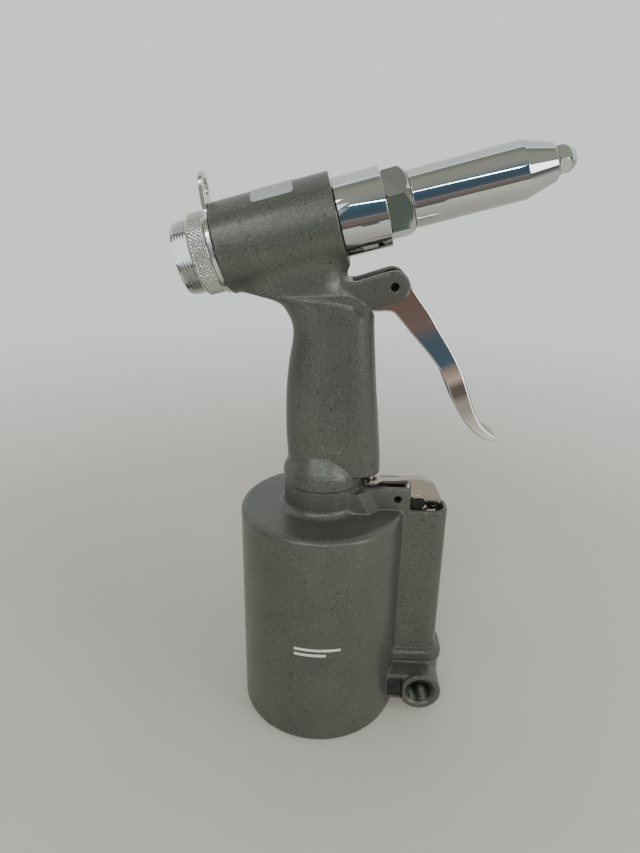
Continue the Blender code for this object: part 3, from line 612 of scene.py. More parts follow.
# ---- air cylinder
def casing_outside(x, y, z):
    """The can, neck, valve column, clevis and air block, as one cast skin."""
    r = np.hypot(x, y)
    can = both(both(r - CAN_RADIUS, z - CAN_TOP, 3.0), -z, 2.0)
    neck = both(both(r - NECK_RADIUS, z - NECK_TOP, 0.5), 100.0 - z, 1.0)
    body = either(can, neck, 3.6)

    plan = rounded_plan(x - COLUMN_MIDDLE, y, COLUMN_REACH, COLUMN_HALF, 6.0)
    column = both(both(plan, z - COLUMN_TOP, 1.0), 27.0 - z, 0.5)
    body = either(body, column, 1.6)

    slope = 0.658 * (x - 16.1) + 0.671 * (np.abs(y) - 13.2) + 0.335 * (z - CLEVIS_TOP)
    rib = both(both(np.abs(y) - 13.2, slope, 0.35), CLEVIS_BACK - x, 0.5)
    block = both(np.abs(y) - COLUMN_HALF, x - 40.1, 0.4)
    clevis = both(both(np.minimum(rib, block), z - CLEVIS_TOP, 0.35), 103.0 - z, 0.5)
    clevis = np.maximum(clevis, CLEVIS_BACK - x)
    body = either(body, clevis, 0.8)

    swell = np.interp(z, (24.7, 26.2, 29.6, 31.2), (0.0, 1.0, 1.0, 0.0))
    ledge = rounded_plan(x - 44.4 - 1.2 * swell, y, 14.4 + 1.2 * swell, 9.4 + 1.2 * swell, 6.0)
    ledge = both(ledge, between(z, 22.9, 31.2), 0.3)
    stem = both(np.hypot(x - STEM_X, y) - 11.0, between(z, 7.0, 25.0), 1.5)
    shelf_top = z - 23.3 - 0.13 * (y + 14.0)
    shelf = both(rounded_plan(x - 40.0, y + 4.5, 9.2, 13.5, 0.8), shelf_top, 0.7)
    shelf = both(shelf, 8.4 - z, 0.7)
    boss = both(np.hypot(x - STEM_X, z - PORT_Z) - PORT_RADIUS, between(y, -PORT_FACE, 4.0), 0.7)
    foot = either(either(stem, shelf, 0.6), either(boss, ledge, 0.6), 1.0)
    return either(body, foot, 1.0)


def casing_field(x, y, z):
    """The casing with its bores, the lever's slot and pocket, and the exhaust window."""
    body = casing_outside(x, y, z)
    r = np.hypot(x, y)
    bore = np.maximum(r - CAN_BORE, z - 102.0)
    body = without(body, bore, 0.4)
    body = without(body, np.maximum(r - 12.0, 101.0 - z), 0.4)

    slot = np.maximum(np.maximum(np.abs(y) - 3.6, 110.6 - z), between(x, 18.4, 41.0))
    body = without(body, slot, 0.5)
    pocket = np.maximum(rounded_plan(x - 47.35, y, 8.95, 6.2, 4.6), 96.0 - z)
    body = without(body, pocket, 0.5)
    stem_bore = np.maximum(np.hypot(x - STEM_X, y) - 6.0, between(z, 10.0, 97.0))
    body = without(body, stem_bore, 0.2)

    across_port = np.hypot(x - STEM_X, z - PORT_Z)
    mouth = PORT_BORE + 0.75 + np.clip(-PORT_FACE + 1.3 - y, 0.0, 1.8)
    body = without(body, np.maximum(across_port - mouth, y), 0.2)
    window = rounded_plan(x - 37.8, z - 15.2, 3.6, 5.4, 0.8)
    body = without(body, np.maximum(window, y + 12.6), 0.5)
    pin = np.hypot(x - LEVER_X, z - LEVER_Z) - PIN_BORE
    return without(body, pin, 0.15)


def port_thread():
    """The female thread of the air inlet, as a helical sleeve in its hole."""
    around, rows_per_turn, height_of_thread = 64, 6, 0.62
    low, high = 8.2, PORT_FACE - 0.8
    rows = int((high - low) / PORT_PITCH * rows_per_turn)

    def radius_at(share, depth, _):
        phase = (depth / PORT_PITCH - share) % 1.0
        return PORT_BORE - 0.1 + height_of_thread * abs(2 * phase - 1)

    rings = carved(around, rows, low, high, radius_at)
    outer = PORT_BORE + 0.72
    rings += [ring_of(outer, high, around), ring_of(outer, low, around), rings[0]]
    sleeve = across(loft("inlet_thread", rings, capped=False, smooth_angle=45.0), STEM_X, PORT_Z)
    attach(sleeve, "frame", "aluminium", "dark_olive_metal")


def can_print():
    """A plain two-bar mark, in place of a maker's print, laid on the can's skin."""
    lift = CAN_RADIUS + 0.05
    for name, z, start, end in (
        ("print_bar_upper", 54.2, -17.0, 15.0),
        ("print_bar_lower", 51.4, -17.0, 5.0),
    ):
        columns = 40
        rings = []
        for height in (z, z - 1.4):
            turns = [math.radians(-90 + start + (end - start) * k / columns) for k in range(columns + 1)]
            rings.append([(lift * math.cos(a), lift * math.sin(a), height) for a in turns])
        bar = loft(name, rings, closed=False, capped=False)
        attach(bar, "frame", "label", "print")


def casing():
    made = skinned("casing_skin", casing_field, CASE_LOW, CASE_HIGH, 0.5)
    attach(made, "frame", "grey_paint", "grey_paint", "cylinder_casing")
    port_thread()
    can_print()


# ---- handle
GRIP_SECTIONS = (
    (126.0, -15.6, 25.9, 13.0), (134.0, -16.1, 25.6, 13.6), (145.0, -16.8, 24.6, 14.2),
    (156.0, -16.9, 23.6, 14.4), (166.0, -16.6, 22.5, 14.4), (177.0, -15.5, 21.6, 14.2),
    (187.0, -13.9, 20.8, 13.9), (193.0, -14.2, 20.4, 13.8), (198.0, -16.4, 20.1, 13.8),
    (201.4, -19.2, 18.9, 13.8), (203.6, -24.2, 16.8, 13.7), (205.0, -30.0, 14.8, 13.2),
    (206.6, -34.2, 13.2, 12.6), (211.0, -36.0, 9.2, 12.6), (218.0, -36.6, 8.4, 12.6),
)
GRIP_TABLE = np.array(smooth_line([Vector(row) for row in GRIP_SECTIONS], 10))


def grip_field(x, y, z):
    """The grip: a soft-cornered section that changes with height."""
    heights = GRIP_TABLE[:, 0]
    back, front, half = (np.interp(z, heights, GRIP_TABLE[:, k]) for k in (1, 2, 3))
    across_x = (x - (back + front) / 2) / ((front - back) / 2)
    across_y = y / half
    power_x = np.where(across_x > 0, 3.2, 2.33)
    power_y = 2.78
    size_x = np.maximum(np.abs(across_x), 1e-6)
    size_y = np.maximum(np.abs(across_y), 1e-6)
    value = size_x**power_x + size_y**power_y - 1.0
    slope_x = power_x * size_x ** (power_x - 1) / ((front - back) / 2)
    slope_y = power_y * size_y ** (power_y - 1) / half
    return value / np.maximum(np.hypot(slope_x, slope_y), 0.09)


EAR_OUTLINE = [
    *[(6.0, 212.5), (9.5, 211.6), (12.4, 211.7)],
    *reversed(arc((TRIGGER_X, TRIGGER_Z), 6.3, -62, 104, 12)),
    *[(22.9, 201.8), (19.5, 200.8), (6.0, 200.8)],
]
SLOT_OUTLINE = [(10.2, 197.6), (48.0, 197.6), (48.0, 221.0), (13.0, 214.0), (10.2, 210.6)]
FOOT_HEIGHTS = (HANDLE_FOOT, 126.4, 127.6, 129.4, 131.9, 135.3, 138.4, 139.4)
FOOT_RADII = (18.2, 18.2, 17.9, 17.2, 16.0, 14.2, 11.4, 9.0)


def handle_outside(x, y, z):
    """The barrel, grip, trigger ears and foot, as one cast skin."""
    s, u = head_frame(x, z)
    barrel = both(np.hypot(u, y) - BARREL_RADIUS, between(s, BARREL_REAR, BARREL_FRONT), 0.6)
    grip = both(grip_field(x, y, z), 126.4 - z, 1.0)
    grip = np.maximum(grip, z - 222.0)
    ears = both(polygon(x, z, EAR_OUTLINE), np.abs(y) - 10.0, 0.9)
    grip = either(grip, ears, 1.6)
    body = either(barrel, grip, 3.0)
    r = np.hypot(x, y)
    foot = both(r - np.interp(z, FOOT_HEIGHTS, FOOT_RADII), between(z, HANDLE_FOOT, 139.0), 0.6)
    body = either(body, foot, 0.5)
    tail = both(r - 11.6, between(z, 90.0, 125.0), 0.6)
    return np.minimum(body, tail)


def panel(x, z):
    """Depth of the shallow recess in each flank of the grip."""
    middle = 4.4 + (167.0 - z) * 0.012
    outline = rounded_plan(x - middle, z - 166.5, 5.9, 27.5, 5.8)
    rim = np.clip(0.5 - outline / 0.5, 0.0, 1.0)
    fade = np.clip((194.0 - z) / 14.0, 0.0, 1.0)
    return 0.5 * rim * fade


def handle_field(x, y, z):
    """The handle with its recesses, trigger slot, rod hole, and oil and head bores."""
    body = handle_outside(x, y, z) + panel(x, z)
    s, u = head_frame(x, z)
    slot = np.maximum(polygon(x, z, SLOT_OUTLINE), np.abs(y) - 6.3)
    body = without(body, slot, 0.5)
    body = without(body, np.maximum(rod_distance(x, y, z) - 2.2, between(z, 114.0, 206.0)), 0.2)
    pin = np.hypot(x - TRIGGER_X, z - TRIGGER_Z) - PIN_BORE
    body = without(body, pin, 0.2)
    r = np.hypot(x, y)
    body = without(body, np.maximum(r - 6.6, z - 226.0), 0.2)
    body = without(body, np.maximum(r - 9.5, z - 97.0), 0.2)
    reach = np.hypot(u, y)
    bore = np.interp(s, (-37.1, -37.0, -1.5, -1.4), (15.0, 14.2, 14.2, 12.6))
    body = without(body, np.maximum(reach - bore, -70.0 - s), 0.3)
    fill = np.maximum(np.hypot(x, z - 186.0) - 2.6, -y)
    return without(body, fill, 0.2)


def handle():
    low, high = size_of("handle_casting")
    made = skinned("handle_skin", handle_field, low, high, 0.45)
    attach(made, "frame", "grey_paint", "grey_paint", "handle_casting")


# ---- head
def knurled_band(around, low, high, radius, depth):
    """Rings of diamond knurling, cut by two crossing sets of grooves."""
    grooves, rows = 31, 48

    def radius_at(share, height, row):
        edge = min(1.0, 12.0 * min(row, rows - row) / rows)
        turn, run = math.tau * share, height / radius
        left = abs(math.sin(grooves * (turn + run)))
        right = abs(math.sin(grooves * (turn - run)))
        return radius - depth * edge * (1 - min(left, right)) ** 2

    return carved(around, rows, low, high, radius_at)


def rear_cap():
    """The rear cap: a knurled ring, and a threaded tail with two spanner flats."""
    around = 640
    rings = [ring_of(r, h, around) for r, h in ((6.3, -38.0), (13.9, -38.0), (13.9, -46.5), (15.9, -46.5))]
    rings += [ring_of(r, h, around) for r, h in ((16.3, -46.6), (16.45, -46.9))]
    rings += knurled_band(around, -47.0, -53.3, 16.5, 0.32)
    rings += [ring_of(r, h, around) for r, h in ((16.2, -53.5), (15.6, -54.2), (14.0, -54.25))]
    ring = loft("rear_ring", [*rings, ring_of(6.3, -54.25, around), rings[0]], capped=False)
    attach(on_head(ring), "frame", "chrome", "nickel", "rear_cap")

    around, rows, pitch, root, height_of_thread = 144, 64, 1.15, 14.0, 0.9

    def thread_radius(share, height, row):
        ends = min(1.0, 3.0 * (rows - row) / rows + 0.1)
        phase = (height / pitch - share) % 1.0
        return root + height_of_thread * ends * (1 - abs(2 * phase - 1))

    rings = carved(around, rows, -54.3, -61.0, thread_radius)
    bore = [(13.6, -61.0), (11.3, -61.0), (11.0, -60.7), (11.0, -54.3)]
    rings += [ring_of(r, h, around) for r, h in bore]
    tail = loft("rear_tail", [*rings, rings[0]], capped=False, smooth_angle=50.0)
    flats = column_of("flats", [(-20, -13.5), (20, -13.5), (20, 13.5), (-20, 13.5)], -64.0, -50.0)
    flats.data.transform(Matrix.Rotation(TAIL_FLAT_TURN, 4, "Z"))
    boolean(tail, flats, "INTERSECT")
    flat_facing = Vector((math.sin(TAIL_FLAT_TURN), -math.cos(TAIL_FLAT_TURN), 0.0))
    for face in tail.data.polygons:
        face.use_smooth = abs(face.normal.dot(flat_facing)) < 0.999
    attach(on_head(tail), "frame", "chrome", "chrome")


def hanger():
    """The hanger: a washer behind the barrel, with a drilled ear bent a little forward."""
    rear, front = -46.2, -44.3
    middle, half_sheet, half_width = (rear + front) / 2, (front - rear) / 2, 6.1
    hole_reach, bend_start = 24.2, 18.6
    washer = turned("hanger", [(14.3, rear), (17.35, rear), (17.35, front), (14.3, front)], ease=0.3)
    reaches = [(15.5, half_width), (bend_start, half_width)]
    for angle in range(0, 90, 5):
        turn = math.radians(angle)
        reaches.append((hole_reach + half_width * math.sin(turn), half_width * math.cos(turn)))
    rings = []
    for reach, half in reaches:
        along = middle + HANGER_BEND * max(reach - bend_start, 0.0)
        section = [(-half, -half_sheet), (half, -half_sheet), (half, half_sheet), (-half, half_sheet)]
        rings.append([(-reach, y, along + lift) for y, lift in eased(section, 0.3, 3)])
    boolean(washer, loft("ear", rings), "UNION")
    hole = round_bar("hook_hole", 3.5, 60, 5)
    hole.data.transform(Matrix.Rotation(math.atan(HANGER_BEND), 4, "Y"))
    boolean(washer, shifted(hole, -hole_reach, 0.0, middle + HANGER_BEND * (hole_reach - bend_start)))
    bevelled(washer, 0.22, 2, 50.0)
    attach(on_head(washer), "frame", "chrome", "nickel", "hanger_tab")


def head_pieces():
    """The sleeve, its hexagonal lock nut, the front barrel and the nosepiece."""
    outline = [
        (6.4, 3.0), (8.4, 3.0), (8.4, -1.0), (12.2, -1.0), (12.2, 4.7),
        (15.5, 4.7), (15.5, 23.1), (10.6, 23.1), (10.6, 7.5), (6.4, 7.5),
    ]
    sleeve = turned("front_collar", outline)
    attach(on_head(sleeve), "frame", "chrome", "chrome", "front_sleeve")

    outline = [(10.5, 23.5), (12.9, 23.5), (14.0, 24.1), (14.0, 30.2), (11.7, 33.0), (10.5, 33.0)]
    nut = turned("hex_nut", outline, ease=0.1)
    boolean(nut, column_of("flats", hexagon(24.0, math.radians(-105)), 20, 38), "INTERSECT")
    bevelled(nut, 0.18, 2)
    attach(on_head(nut), "frame", "chrome", "chrome", "frame_lock_nut")

    outline = [
        (8.4, 8.2), (10.2, 8.2), (10.2, 33.3), (11.05, 33.3), (11.05, 77.0),
        (7.3, 88.8), (6.4, 89.6), (3.7, 89.6), (3.7, 83.0), (8.4, 77.5),
    ]
    barrel = turned("front_barrel", outline, ease=0.3)
    attach(on_head(barrel), "frame", "chrome", "chrome", "frame_head")

    outline = [
        (1.7, 81.0), (3.4, 81.0), (3.4, 89.9), (6.0, 89.9),
        (6.0, 92.4), (5.0, 94.6), (3.2, 96.8), (1.7, 96.8),
    ]
    nose = turned("nose_tip", outline, ease=0.3)
    boolean(nose, column_of("flats", hexagon(10.4, math.radians(-95)), 78, 99), "INTERSECT")
    bevelled(nose, 0.1, 2)
    attach(on_head(nose), "frame", "steel", "chrome", "nose_piece")


def rating_label():
    """The blank foil label on top of the barrel, with rounded corners."""
    radius, rise = BARREL_RADIUS + 0.05, 0.22
    half_run, half_turn = 8.3, math.radians(40.0)
    corner, middle = 1.6, -18.1
    outline = []
    half_arc = half_turn * radius
    for cx, cy, start in ((1, 1, 0), (-1, 1, 90), (-1, -1, 180), (1, -1, 270)):
        centre = (cx * (half_run - corner), cy * (half_arc - corner))
        outline += arc(centre, corner, start, start + 90, 6)
    bm = bmesh.new()
    flat = [bm.verts.new((s, t, 0.0)) for s, t in outline]
    bm.faces.new(flat)
    cuts = 40
    for k in range(1, cuts):
        across_t = -half_arc + 2 * half_arc * k / cuts
        geometry = bm.verts[:] + bm.edges[:] + bm.faces[:]
        bmesh.ops.bisect_plane(bm, geom=geometry, plane_co=(0, across_t, 0), plane_no=(0, 1, 0))
    raised = bmesh.ops.extrude_face_region(bm, geom=bm.faces[:])["geom"]
    top = [part for part in raised if isinstance(part, bmesh.types.BMVert)]
    bmesh.ops.translate(bm, verts=top, vec=(0, 0, rise))
    for vert in bm.verts:
        s, t, lift = vert.co
        turn = math.pi + t / radius
        vert.co = ((radius + lift) * math.cos(turn), (radius + lift) * math.sin(turn), middle + s)
    attach(on_head(object_of(bm, "label_blank", 50.0)), "frame", "label", "label", "rating_label")


# ---- trigger and valve train
TRIGGER_FRONT = [
    (35.2, 209.0), (38.8, 204.1), (42.9, 199.0), (46.6, 193.1), (50.3, 187.7),
    (54.0, 182.0), (57.9, 175.1), (60.8, 168.2), (63.0, 162.5), (65.3, 156.6),
    (69.0, 150.4), (73.4, 146.8), (75.9, 145.2),
]
TRIGGER_BACK = [
    (74.9, 143.4), (71.0, 143.9), (67.6, 145.8), (64.0, 148.8), (60.0, 153.8),
    (55.7, 160.7), (52.0, 168.7), (48.1, 176.0), (42.2, 183.2), (35.4, 190.6),
    (29.6, 197.2), (26.5, 199.4), (20.0, 199.3), (13.6, 200.2), (11.8, 202.4),
    (12.4, 205.0),
]
TRIGGER_HOLLOW = [
    (8.0, 202.4), (20.0, 202.2), (22.0, 196.0), (30.0, 186.0), (45.0, 170.0),
    (57.0, 150.0), (62.4, 152.6), (61.4, 156.8), (59.4, 162.2), (57.4, 167.6),
    (54.6, 174.0), (50.9, 180.7), (47.5, 186.0), (43.8, 191.3), (40.2, 197.0),
    (36.3, 202.2), (33.6, 205.6), (31.0, 219.0), (8.0, 219.0),
]


def trigger():
    """The pressed trigger: a rolled front web, two cheeks and a forked arm on the rod."""
    top = list(reversed(arc((TRIGGER_X, TRIGGER_Z), 5.4, 35, 125, 10)))
    outline = [(17.5, 208.0), *top, *smooth_line(TRIGGER_FRONT, 3), *smooth_line(TRIGGER_BACK, 3)]
    body = slab("trigger_body", outline, -5.9, 5.9)
    bevelled(body, 1.1, 4, 50.0)
    boolean(body, slab("hollow", TRIGGER_HOLLOW, -4.4, 4.4))
    slot_x = ROD_FOOT.x + ROD_AXIS.x / ROD_AXIS.z * (201.0 - ROD_FOOT.z)
    rod_slot = [*arc((slot_x + 2.4, 0.0), 2.1, -90, 90, 10), *arc((slot_x - 1.2, 0.0), 2.1, 90, 270, 10)]
    boolean(body, column_of("rod_slot", rod_slot, 195, 206))
    boolean(body, across(round_bar("pin_hole", 1.6, 24, 12), TRIGGER_X, TRIGGER_Z))
    even_normals(body, 35.0)
    attach(body, "trigger", "chrome", "chrome", "trigger")


LEVER_PATH = [
    (27.0, 121.0), (33.0, 121.1), (36.0, 121.4), (40.0, 122.0), (43.0, 122.1),
    (45.8, 121.8), (48.4, 120.9), (51.3, 118.8), (53.2, 116.3), (54.5, 113.4),
    (54.9, 110.6), (54.3, 108.6), (52.8, 107.5), (50.8, 107.4), (49.0, 108.2),
    (47.9, 109.6), (47.6, 111.2), (46.8, 112.3), (45.6, 112.6), (42.0, 112.4),
]
LEVER_CHEEK = [
    (40.6, 121.3), (45.6, 121.0), (48.0, 120.1), (50.7, 118.1), (52.5, 115.8),
    (53.8, 113.2), (54.2, 110.7), (53.7, 109.1), (52.5, 108.2), (51.0, 108.1),
    (49.5, 108.8), (48.6, 109.9), (48.3, 111.4), (47.2, 113.0), (45.7, 113.3),
    (40.6, 113.1),
]


def strip_outline(path, thickness):
    """The outline of a bent strip: its outer line, and that line moved in by its thickness."""
    inner = []
    for i, (x, z) in enumerate(path):
        before = path[max(i - 1, 0)]
        after = path[min(i + 1, len(path) - 1)]
        dx, dz = after[0] - before[0], after[1] - before[1]
        length = math.hypot(dx, dz)
        inner.append((x + thickness * dz / length, z - thickness * dx / length))
    return [*path, *reversed(inner)]


def valve_lever():
    """The bent strip that rocks on the can: a fork, a hub, and a curl over the valve."""
    strip = slab("lever_strip", strip_outline(smooth_line(LEVER_PATH, 4), 1.25), -2.2, 2.2)
    boolean(strip, slab("rib", strip_outline(smooth_line(LEVER_PATH[:9], 4), 1.9), -2.1, 2.1), "UNION")
    boolean(strip, slab("cheek", LEVER_CHEEK, -1.9, 1.9), "UNION")
    hub_outline = [
        *arc((LEVER_X, LEVER_Z), 2.9, 180, 360, 18),
        (LEVER_X + 3.8, 120.8),
        (LEVER_X - 4.2, 120.4),
    ]
    hub = slab("hub", hub_outline, -2.0, 2.0)
    boolean(hub, across(round_bar("boss", 2.7, 36, 3.2), LEVER_X, LEVER_Z), "UNION")
    side = [(18.8, -4.6), (24.8, -4.6), (28.4, -1.4), (30.0, -1.4)]
    gap = [(24.9, 2.1), (18.8, 2.1)]
    plan = [*side, *[(x, -y) for x, y in reversed(side)], *reversed(gap), *[(x, -y) for x, y in gap]]
    fork = column_of("fork", plan, 119.8, 120.9)
    boolean(strip, hub, "UNION")
    boolean(strip, fork, "UNION")
    boolean(strip, across(round_bar("pin_hole", 1.6, 24, 12), LEVER_X, LEVER_Z))
    bevelled(strip, 0.2, 2, 40.0)
    # The lever's brown tint is a painted reflection of the can, laid on chrome.
    attach(strip, "valve_lever", "chrome", "chrome_with_painted_brown_reflection", "valve_lever")


def roll_pins():
    """The hollow spring pins that the trigger and the lever turn on."""
    for node, x, z in (("trigger_pin", TRIGGER_X, TRIGGER_Z), ("lever_pin", LEVER_X, LEVER_Z)):
        half = size_of(node)[1].y
        wall = [(0.85, -half), (1.5, -half), (1.5, half), (0.85, half)]
        pin = turned(node + "_tube", wall, 32, 0.2)
        # The pins' near-black colour is painted shade of the holes they sit in.
        attach(across(pin, x, z), "frame", "steel", "pin_hole_painted_shade", node)


def coil(name, radius, wire, low, high, turns):
    """A compression spring of round wire about Z, between low and high."""
    steps, sides = 32, 12
    count = turns * steps
    section = arc((0.0, 0.0), wire, 0, 360 - 360 / sides, sides - 1)
    rings = []
    for i in range(count + 1):
        turn = math.tau * i / steps
        out = Vector((math.cos(turn), math.sin(turn), 0.0))
        centre = out * radius
        centre.z = low + wire + (high - low - 2 * wire) * i / count
        rings.append([tuple(centre + out * side + Vector((0.0, 0.0, up))) for side, up in section])
    return loft(name, rings)


def springs():
    """The two springs of the head piston and the valve stem, made at one length."""
    rear, front, travel = -37.4, -14.4, joint("head_pull")["range_m"][1] / MM
    made = on_head(coil("return_coil", 10.2, 0.8, rear, front, 4))
    attach(made, "frame", "steel", "steel", "head_return_spring")
    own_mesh(made)

    low, high, travel = 46.0, 65.6, joint("valve_stem_slide")["range_m"][1] / MM
    made = shifted(coil("valve_coil", 2.6, 0.5, low, high, 6), STEM_X, 0.0, 0.0)
    attach(made, "frame", "steel", "steel", "valve_spring")
    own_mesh(made)


# ---- carried-over nodes
def finish_carried_nodes():
    """Gives every CAD node that still shows its worked material."""
    slots = {part["node"]: part["material_slot"] for part in frame["record"]["subparts"]}
    for name, obj in frame["nodes"].items():
        coat(obj, slots[name])


# ---- stage
def stage_floor():
    """A pale table top that fades out into the backdrop; its colour darkens towards the tool as painted shade."""
    bm = bmesh.new()
    bmesh.ops.create_circle(bm, cap_ends=True, segments=96, radius=6000.0)
    floor = object_of(bm, "floor")
    shifted(floor, 0.0, 0.0, FLOOR_Z)
    made, tree, shader = new_material("table_top", (0.5, 0.5, 0.46), 0.6, 0.0)
    distance = new_node(tree, "ShaderNodeVectorMath", {}, {0: object_place(tree)})
    distance.operation = "LENGTH"
    # Painted shade: the table's colour darkens within a few tenths of a metre of the tool.
    tone = ramp(tree, distance.outputs["Value"], [(0.10, (0.50, 0.485, 0.43)), (0.60, (0.74, 0.725, 0.66))])
    mottle = ramp(tree, noise(tree, 18.0, 3.0), [(0.3, (0.975, 0.975, 0.975)), (0.7, (1.0, 1.0, 1.0))])
    tree.links.new(multiply(tree, tone, mottle), shader.inputs["Base Color"])
    shader.inputs["Specular IOR Level"].default_value = 0.25
    fade = ramp(tree, distance.outputs["Value"], [(0.30, (0.0, 0.0, 0.0)), (0.95, (1.0, 1.0, 1.0))])
    clear = tree.nodes.new("ShaderNodeBsdfTransparent")
    mix = blend(tree, fade, shader.outputs["BSDF"], clear.outputs["BSDF"])
    tree.links.new(mix, tree.nodes["Material Output"].inputs["Surface"])
    floor.data.materials.append(made)


# What polished metal mirrors, by elevation in degrees: 0 is level behind the camera, 90 is
# straight up, 180 is level in front of it.
ROOM_BANDS = [
    (-90, (0.50, 0.51, 0.48)), (-6, (0.10, 0.11, 0.12)), (4, (0.085, 0.125, 0.17)),
    (17, (0.065, 0.15, 0.215)), (26, (0.15, 0.25, 0.31)), (31, (0.32, 0.35, 0.36)),
    (46, (0.42, 0.43, 0.36)), (72, (0.41, 0.42, 0.35)), (90, (0.27, 0.285, 0.25)),
    (95, (0.27, 0.285, 0.25)), (98, (1.35, 1.38, 1.36)), (106, (0.92, 0.96, 0.95)),
    (180, (0.86, 0.90, 0.89)),
]


def soft_room():
    """The backdrop that the camera sees, the even light, and the room that metal mirrors."""
    world = bpy.data.worlds.new("room")
    bpy.context.scene.world = world
    world.use_nodes = True
    tree = world.node_tree
    place = tree.nodes.new("ShaderNodeTexCoord")
    split = tree.nodes.new("ShaderNodeSeparateXYZ")
    tree.links.new(place.outputs["Generated"], split.inputs["Vector"])
    backward = new_node(tree, "ShaderNodeMath", {1: -1.0}, {0: split.outputs["Y"]})
    backward.operation = "MULTIPLY"
    sides = {0: split.outputs["Z"], 1: backward.outputs["Value"]}
    height = new_node(tree, "ShaderNodeMath", {}, sides)
    height.operation = "ARCTAN2"
    ends = {"From Min": math.radians(-90.0), "From Max": math.radians(180.0)}
    turn = new_node(tree, "ShaderNodeMapRange", ends, {"Value": height.outputs["Value"]})
    bands = [((degrees + 90) / 270, colour) for degrees, colour in ROOM_BANDS]
    room = {"Color": ramp(tree, turn.outputs["Result"], bands)}
    mirrored = new_node(tree, "ShaderNodeBackground", {}, room)
    even = new_node(tree, "ShaderNodeBackground", {"Color": (0.66, 0.67, 0.66, 1.0)}, {})
    backdrop = tree.nodes["Background"]
    backdrop.inputs["Color"].default_value = (0.93, 0.975, 0.955, 1.0)
    rays = tree.nodes.new("ShaderNodeLightPath")
    glossy, seen = rays.outputs["Is Glossy Ray"], rays.outputs["Is Camera Ray"]
    shine = blend(tree, glossy, even.outputs["Background"], mirrored.outputs["Background"])
    mix = blend(tree, seen, shine, backdrop.outputs["Background"])
    tree.links.new(mix, tree.nodes["World Output"].inputs["Surface"])


def mirror_card(name, corners, stops, slant=0.0):
    """A glowing card that only shiny surfaces see; its bands lie across the slanted upright.

    Stops are (metres along that line, colour).
    """
    bm = bmesh.new()
    bm.faces.new([bm.verts.new(corner) for corner in corners])
    card = object_of(bm, name)
    made, tree, shader = new_material(name, (0.0, 0.0, 0.0), 1.0, 0.0)
    line = {1: (-math.sin(slant), 0.0, math.cos(slant))}
    along = new_node(tree, "ShaderNodeVectorMath", line, {0: object_place(tree)})
    along.operation = "DOT_PRODUCT"
    tree.links.new(ramp(tree, along.outputs["Value"], stops), shader.inputs["Emission Color"])
    shader.inputs["Specular IOR Level"].default_value = 0.0
    shader.inputs["Emission Strength"].default_value = 1.0
    card.data.materials.append(made)
    card.visible_camera = False
    card.visible_diffuse = False
    card.visible_shadow = False


def plain(red, green, blue):
    """The stops of a card of one colour."""
    return [(0.0, (red, green, blue)), (1.0, (red, green, blue))]


def upright(y, left, right, low, high):
    """The corners of a card that stands across the view."""
    return [(left, y, low), (right, y, low), (right, y, high), (left, y, high)]


def mirrored_from_camera(x, z, card_y, face_y):
    """Where on an upright card the camera sees (x, z) of a sheet that faces -Y mirrored."""
    reach = (face_y - card_y) / (face_y - CAMERA_PLACE.y)
    return x + reach * (x - CAMERA_PLACE.x), z - reach * (CAMERA_PLACE.z - z)


def cheek_strip(name, inset, front, back, stops):
    """A card in front of the trigger's cheek, reaching from inset behind its front line, placed from the camera's
    place so that its colours become a painted reflection on the cheek.
    """
    card_y, cheek_y = -15.0, -5.9
    line = [(x - inset, z) for x, z in front]
    seen = [mirrored_from_camera(x, z, card_y, cheek_y) for x, z in [*line, *back]]
    mirror_card(name, [(x, card_y, z) for x, z in seen], stops, math.radians(25.0))


TABLE_EDGE_Y = -385.0
FAR_WALL_Y = -1500.0


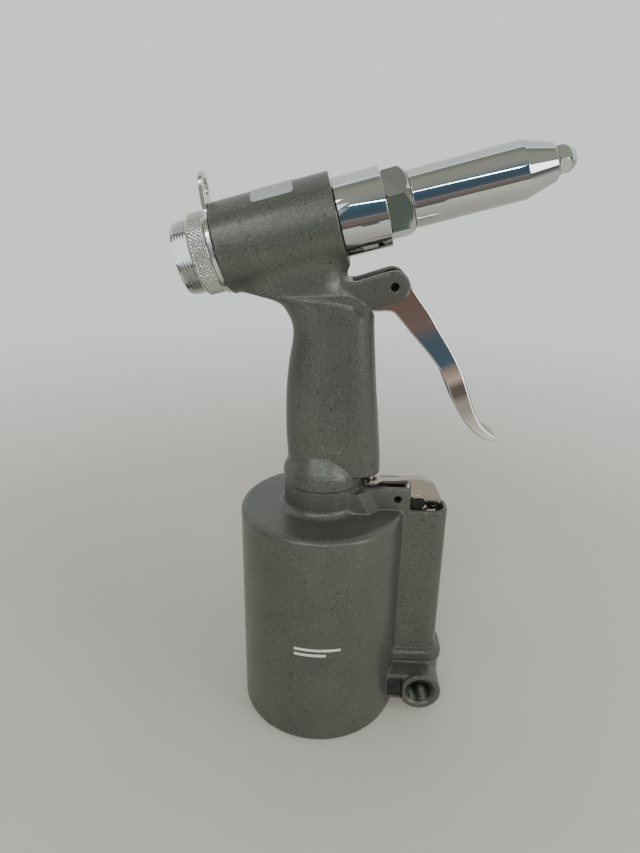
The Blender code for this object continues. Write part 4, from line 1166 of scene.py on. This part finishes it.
def mirror_cards():
    """What the polished metal mirrors: the table's near edge, windows, a painted dark patch, and a painted
    reflection of a hand's colours with a painted highlight, both laid out on the trigger for this camera's place.
    """
    near_edge = [
        (0.0, (0.14, 0.173, 0.143)), (0.028, (0.14, 0.173, 0.143)),
        (0.040, (0.13, 0.12, 0.10)), (0.060, (0.25, 0.195, 0.17)),
        (0.145, (0.26, 0.20, 0.18)), (0.158, (0.36, 0.38, 0.40)),
        (0.176, (0.12, 0.15, 0.18)), (0.240, (0.09, 0.125, 0.155)),
    ]
    mirror_card("card_near_edge", upright(TABLE_EDGE_Y, -40.0, 420.0, 0.0, 240.0), near_edge)
    # Painted reflection: a dark card lying on the table that only polished metal sees, giving a dark patch in its
    # mirrored table.
    patch = [(75.0, -386.0, 0.5), (140.0, -386.0, 0.5), (140.0, -325.0, 0.5), (75.0, -325.0, 0.5)]
    mirror_card("card_painted_dark_reflection", patch, plain(0.14, 0.173, 0.143))
    sill, head = [(-300.0, 1000.0), (420.0, 712.0)], [(420.0, 790.0), (-300.0, 1030.0)]
    window = [(x, FAR_WALL_Y, z) for x, z in [*sill, *head]]
    mirror_card("card_window", window, plain(20.0, 20.6, 20.8))
    lamp = upright(FAR_WALL_Y, -1300.0, -720.0, 1500.0, 2050.0)
    mirror_card("card_left_lamp", lamp, plain(9.0, 9.2, 9.2))
    side = upright(FAR_WALL_Y, -1600.0, -400.0, 850.0, 1350.0)
    mirror_card("card_left_window", side, plain(1.75, 1.85, 1.85))
    pale = [(0.0, (0.40, 0.40, 0.38)), (1.0, (0.55, 0.56, 0.55))]
    mirror_card("card_left_wall", upright(FAR_WALL_Y + 10.0, -1700.0, -270.0, -500.0, 848.0), pale)
    right = upright(-1300.0, 760.0, 2600.0, 120.0, 1000.0)
    mirror_card("card_right_window", right, plain(5.0, 4.9, 4.6))

    # Painted reflection: bands of a hand's colours that the trigger's cheek shows from this camera's place only.
    hand = [
        (0.097, (1.15, 1.05, 0.95)), (0.106, (0.80, 0.72, 0.63)),
        (0.113, (0.50, 0.44, 0.38)), (0.1175, (0.50, 0.42, 0.36)),
        (0.1215, (0.14, 0.125, 0.10)), (0.126, (0.20, 0.15, 0.12)),
        (0.130, (0.95, 0.72, 0.60)), (0.133, (0.45, 0.33, 0.27)),
        (0.137, (0.085, 0.14, 0.19)), (0.151, (0.11, 0.15, 0.18)),
        (0.156, (0.24, 0.17, 0.145)), (0.170, (0.22, 0.145, 0.12)),
    ]
    cheek_strip("card_painted_hand_reflection", 0.8, TRIGGER_FRONT, TRIGGER_BACK, hand)
    # Painted highlight: a bright strip just past the trigger's front line, so its rolled front edge shines from
    # this camera.
    beside = [(x + 3.0, z) for x, z in reversed(TRIGGER_FRONT)]
    cheek_strip("card_painted_rim_highlight", 0.8, TRIGGER_FRONT, beside, plain(6.0, 5.8, 5.2))


def area_light(name, place, target, size, power, colour):
    """A soft box that is seen neither by the camera nor in polished metal."""
    light = bpy.data.lights.new(name, "AREA")
    light.shape = "RECTANGLE"
    light.size, light.size_y = size
    light.energy = power
    light.color = colour
    obj = linked(name, light)
    obj.location = place
    obj.rotation_euler = (Vector(target) - Vector(place)).to_track_quat("-Z", "Y").to_euler()
    obj.visible_camera = False
    obj.visible_glossy = False


def stage_lights():
    area_light("key", (-0.10, -1.00, 0.62), (0.0, 0.0, 0.15), (0.7, 0.4), 9.0, (1.0, 1.0, 0.98))
    area_light("fill", (0.9, -0.5, 0.5), (0.0, 0.0, 0.12), (0.6, 0.6), 4.0, (0.97, 0.99, 1.0))


def stage_camera():
    """A hand-held view from the tool's right, looking down 21 degrees."""
    pitch, roll, heading = math.radians(21.006), math.radians(0.980), math.radians(1.14)
    level = Vector((-math.sin(heading), math.cos(heading), 0.0))
    forward = level * math.cos(pitch) - Vector((0.0, 0.0, math.sin(pitch)))
    side = Vector((level.y, -level.x, 0.0))
    above = side.cross(forward)
    right = side * math.cos(roll) + above * math.sin(roll)
    up = above * math.cos(roll) - side * math.sin(roll)
    camera = bpy.data.cameras.new("camera")
    camera.lens = 26.213
    camera.sensor_width = 36.0
    camera.clip_start = 0.01
    obj = linked("camera", camera)
    turn = Matrix((right, up, -forward)).transposed().to_4x4()
    turn.translation = CAMERA_PLACE * MM
    obj.matrix_world = turn
    bpy.context.scene.camera = obj


def main():
    finish_carried_nodes()
    casing()
    handle()
    rear_cap()
    hanger()
    head_pieces()
    rating_label()
    trigger()
    valve_lever()
    roll_pins()
    springs()
    stage_floor()
    mirror_cards()
    soft_room()
    stage_lights()
    stage_camera()


main()
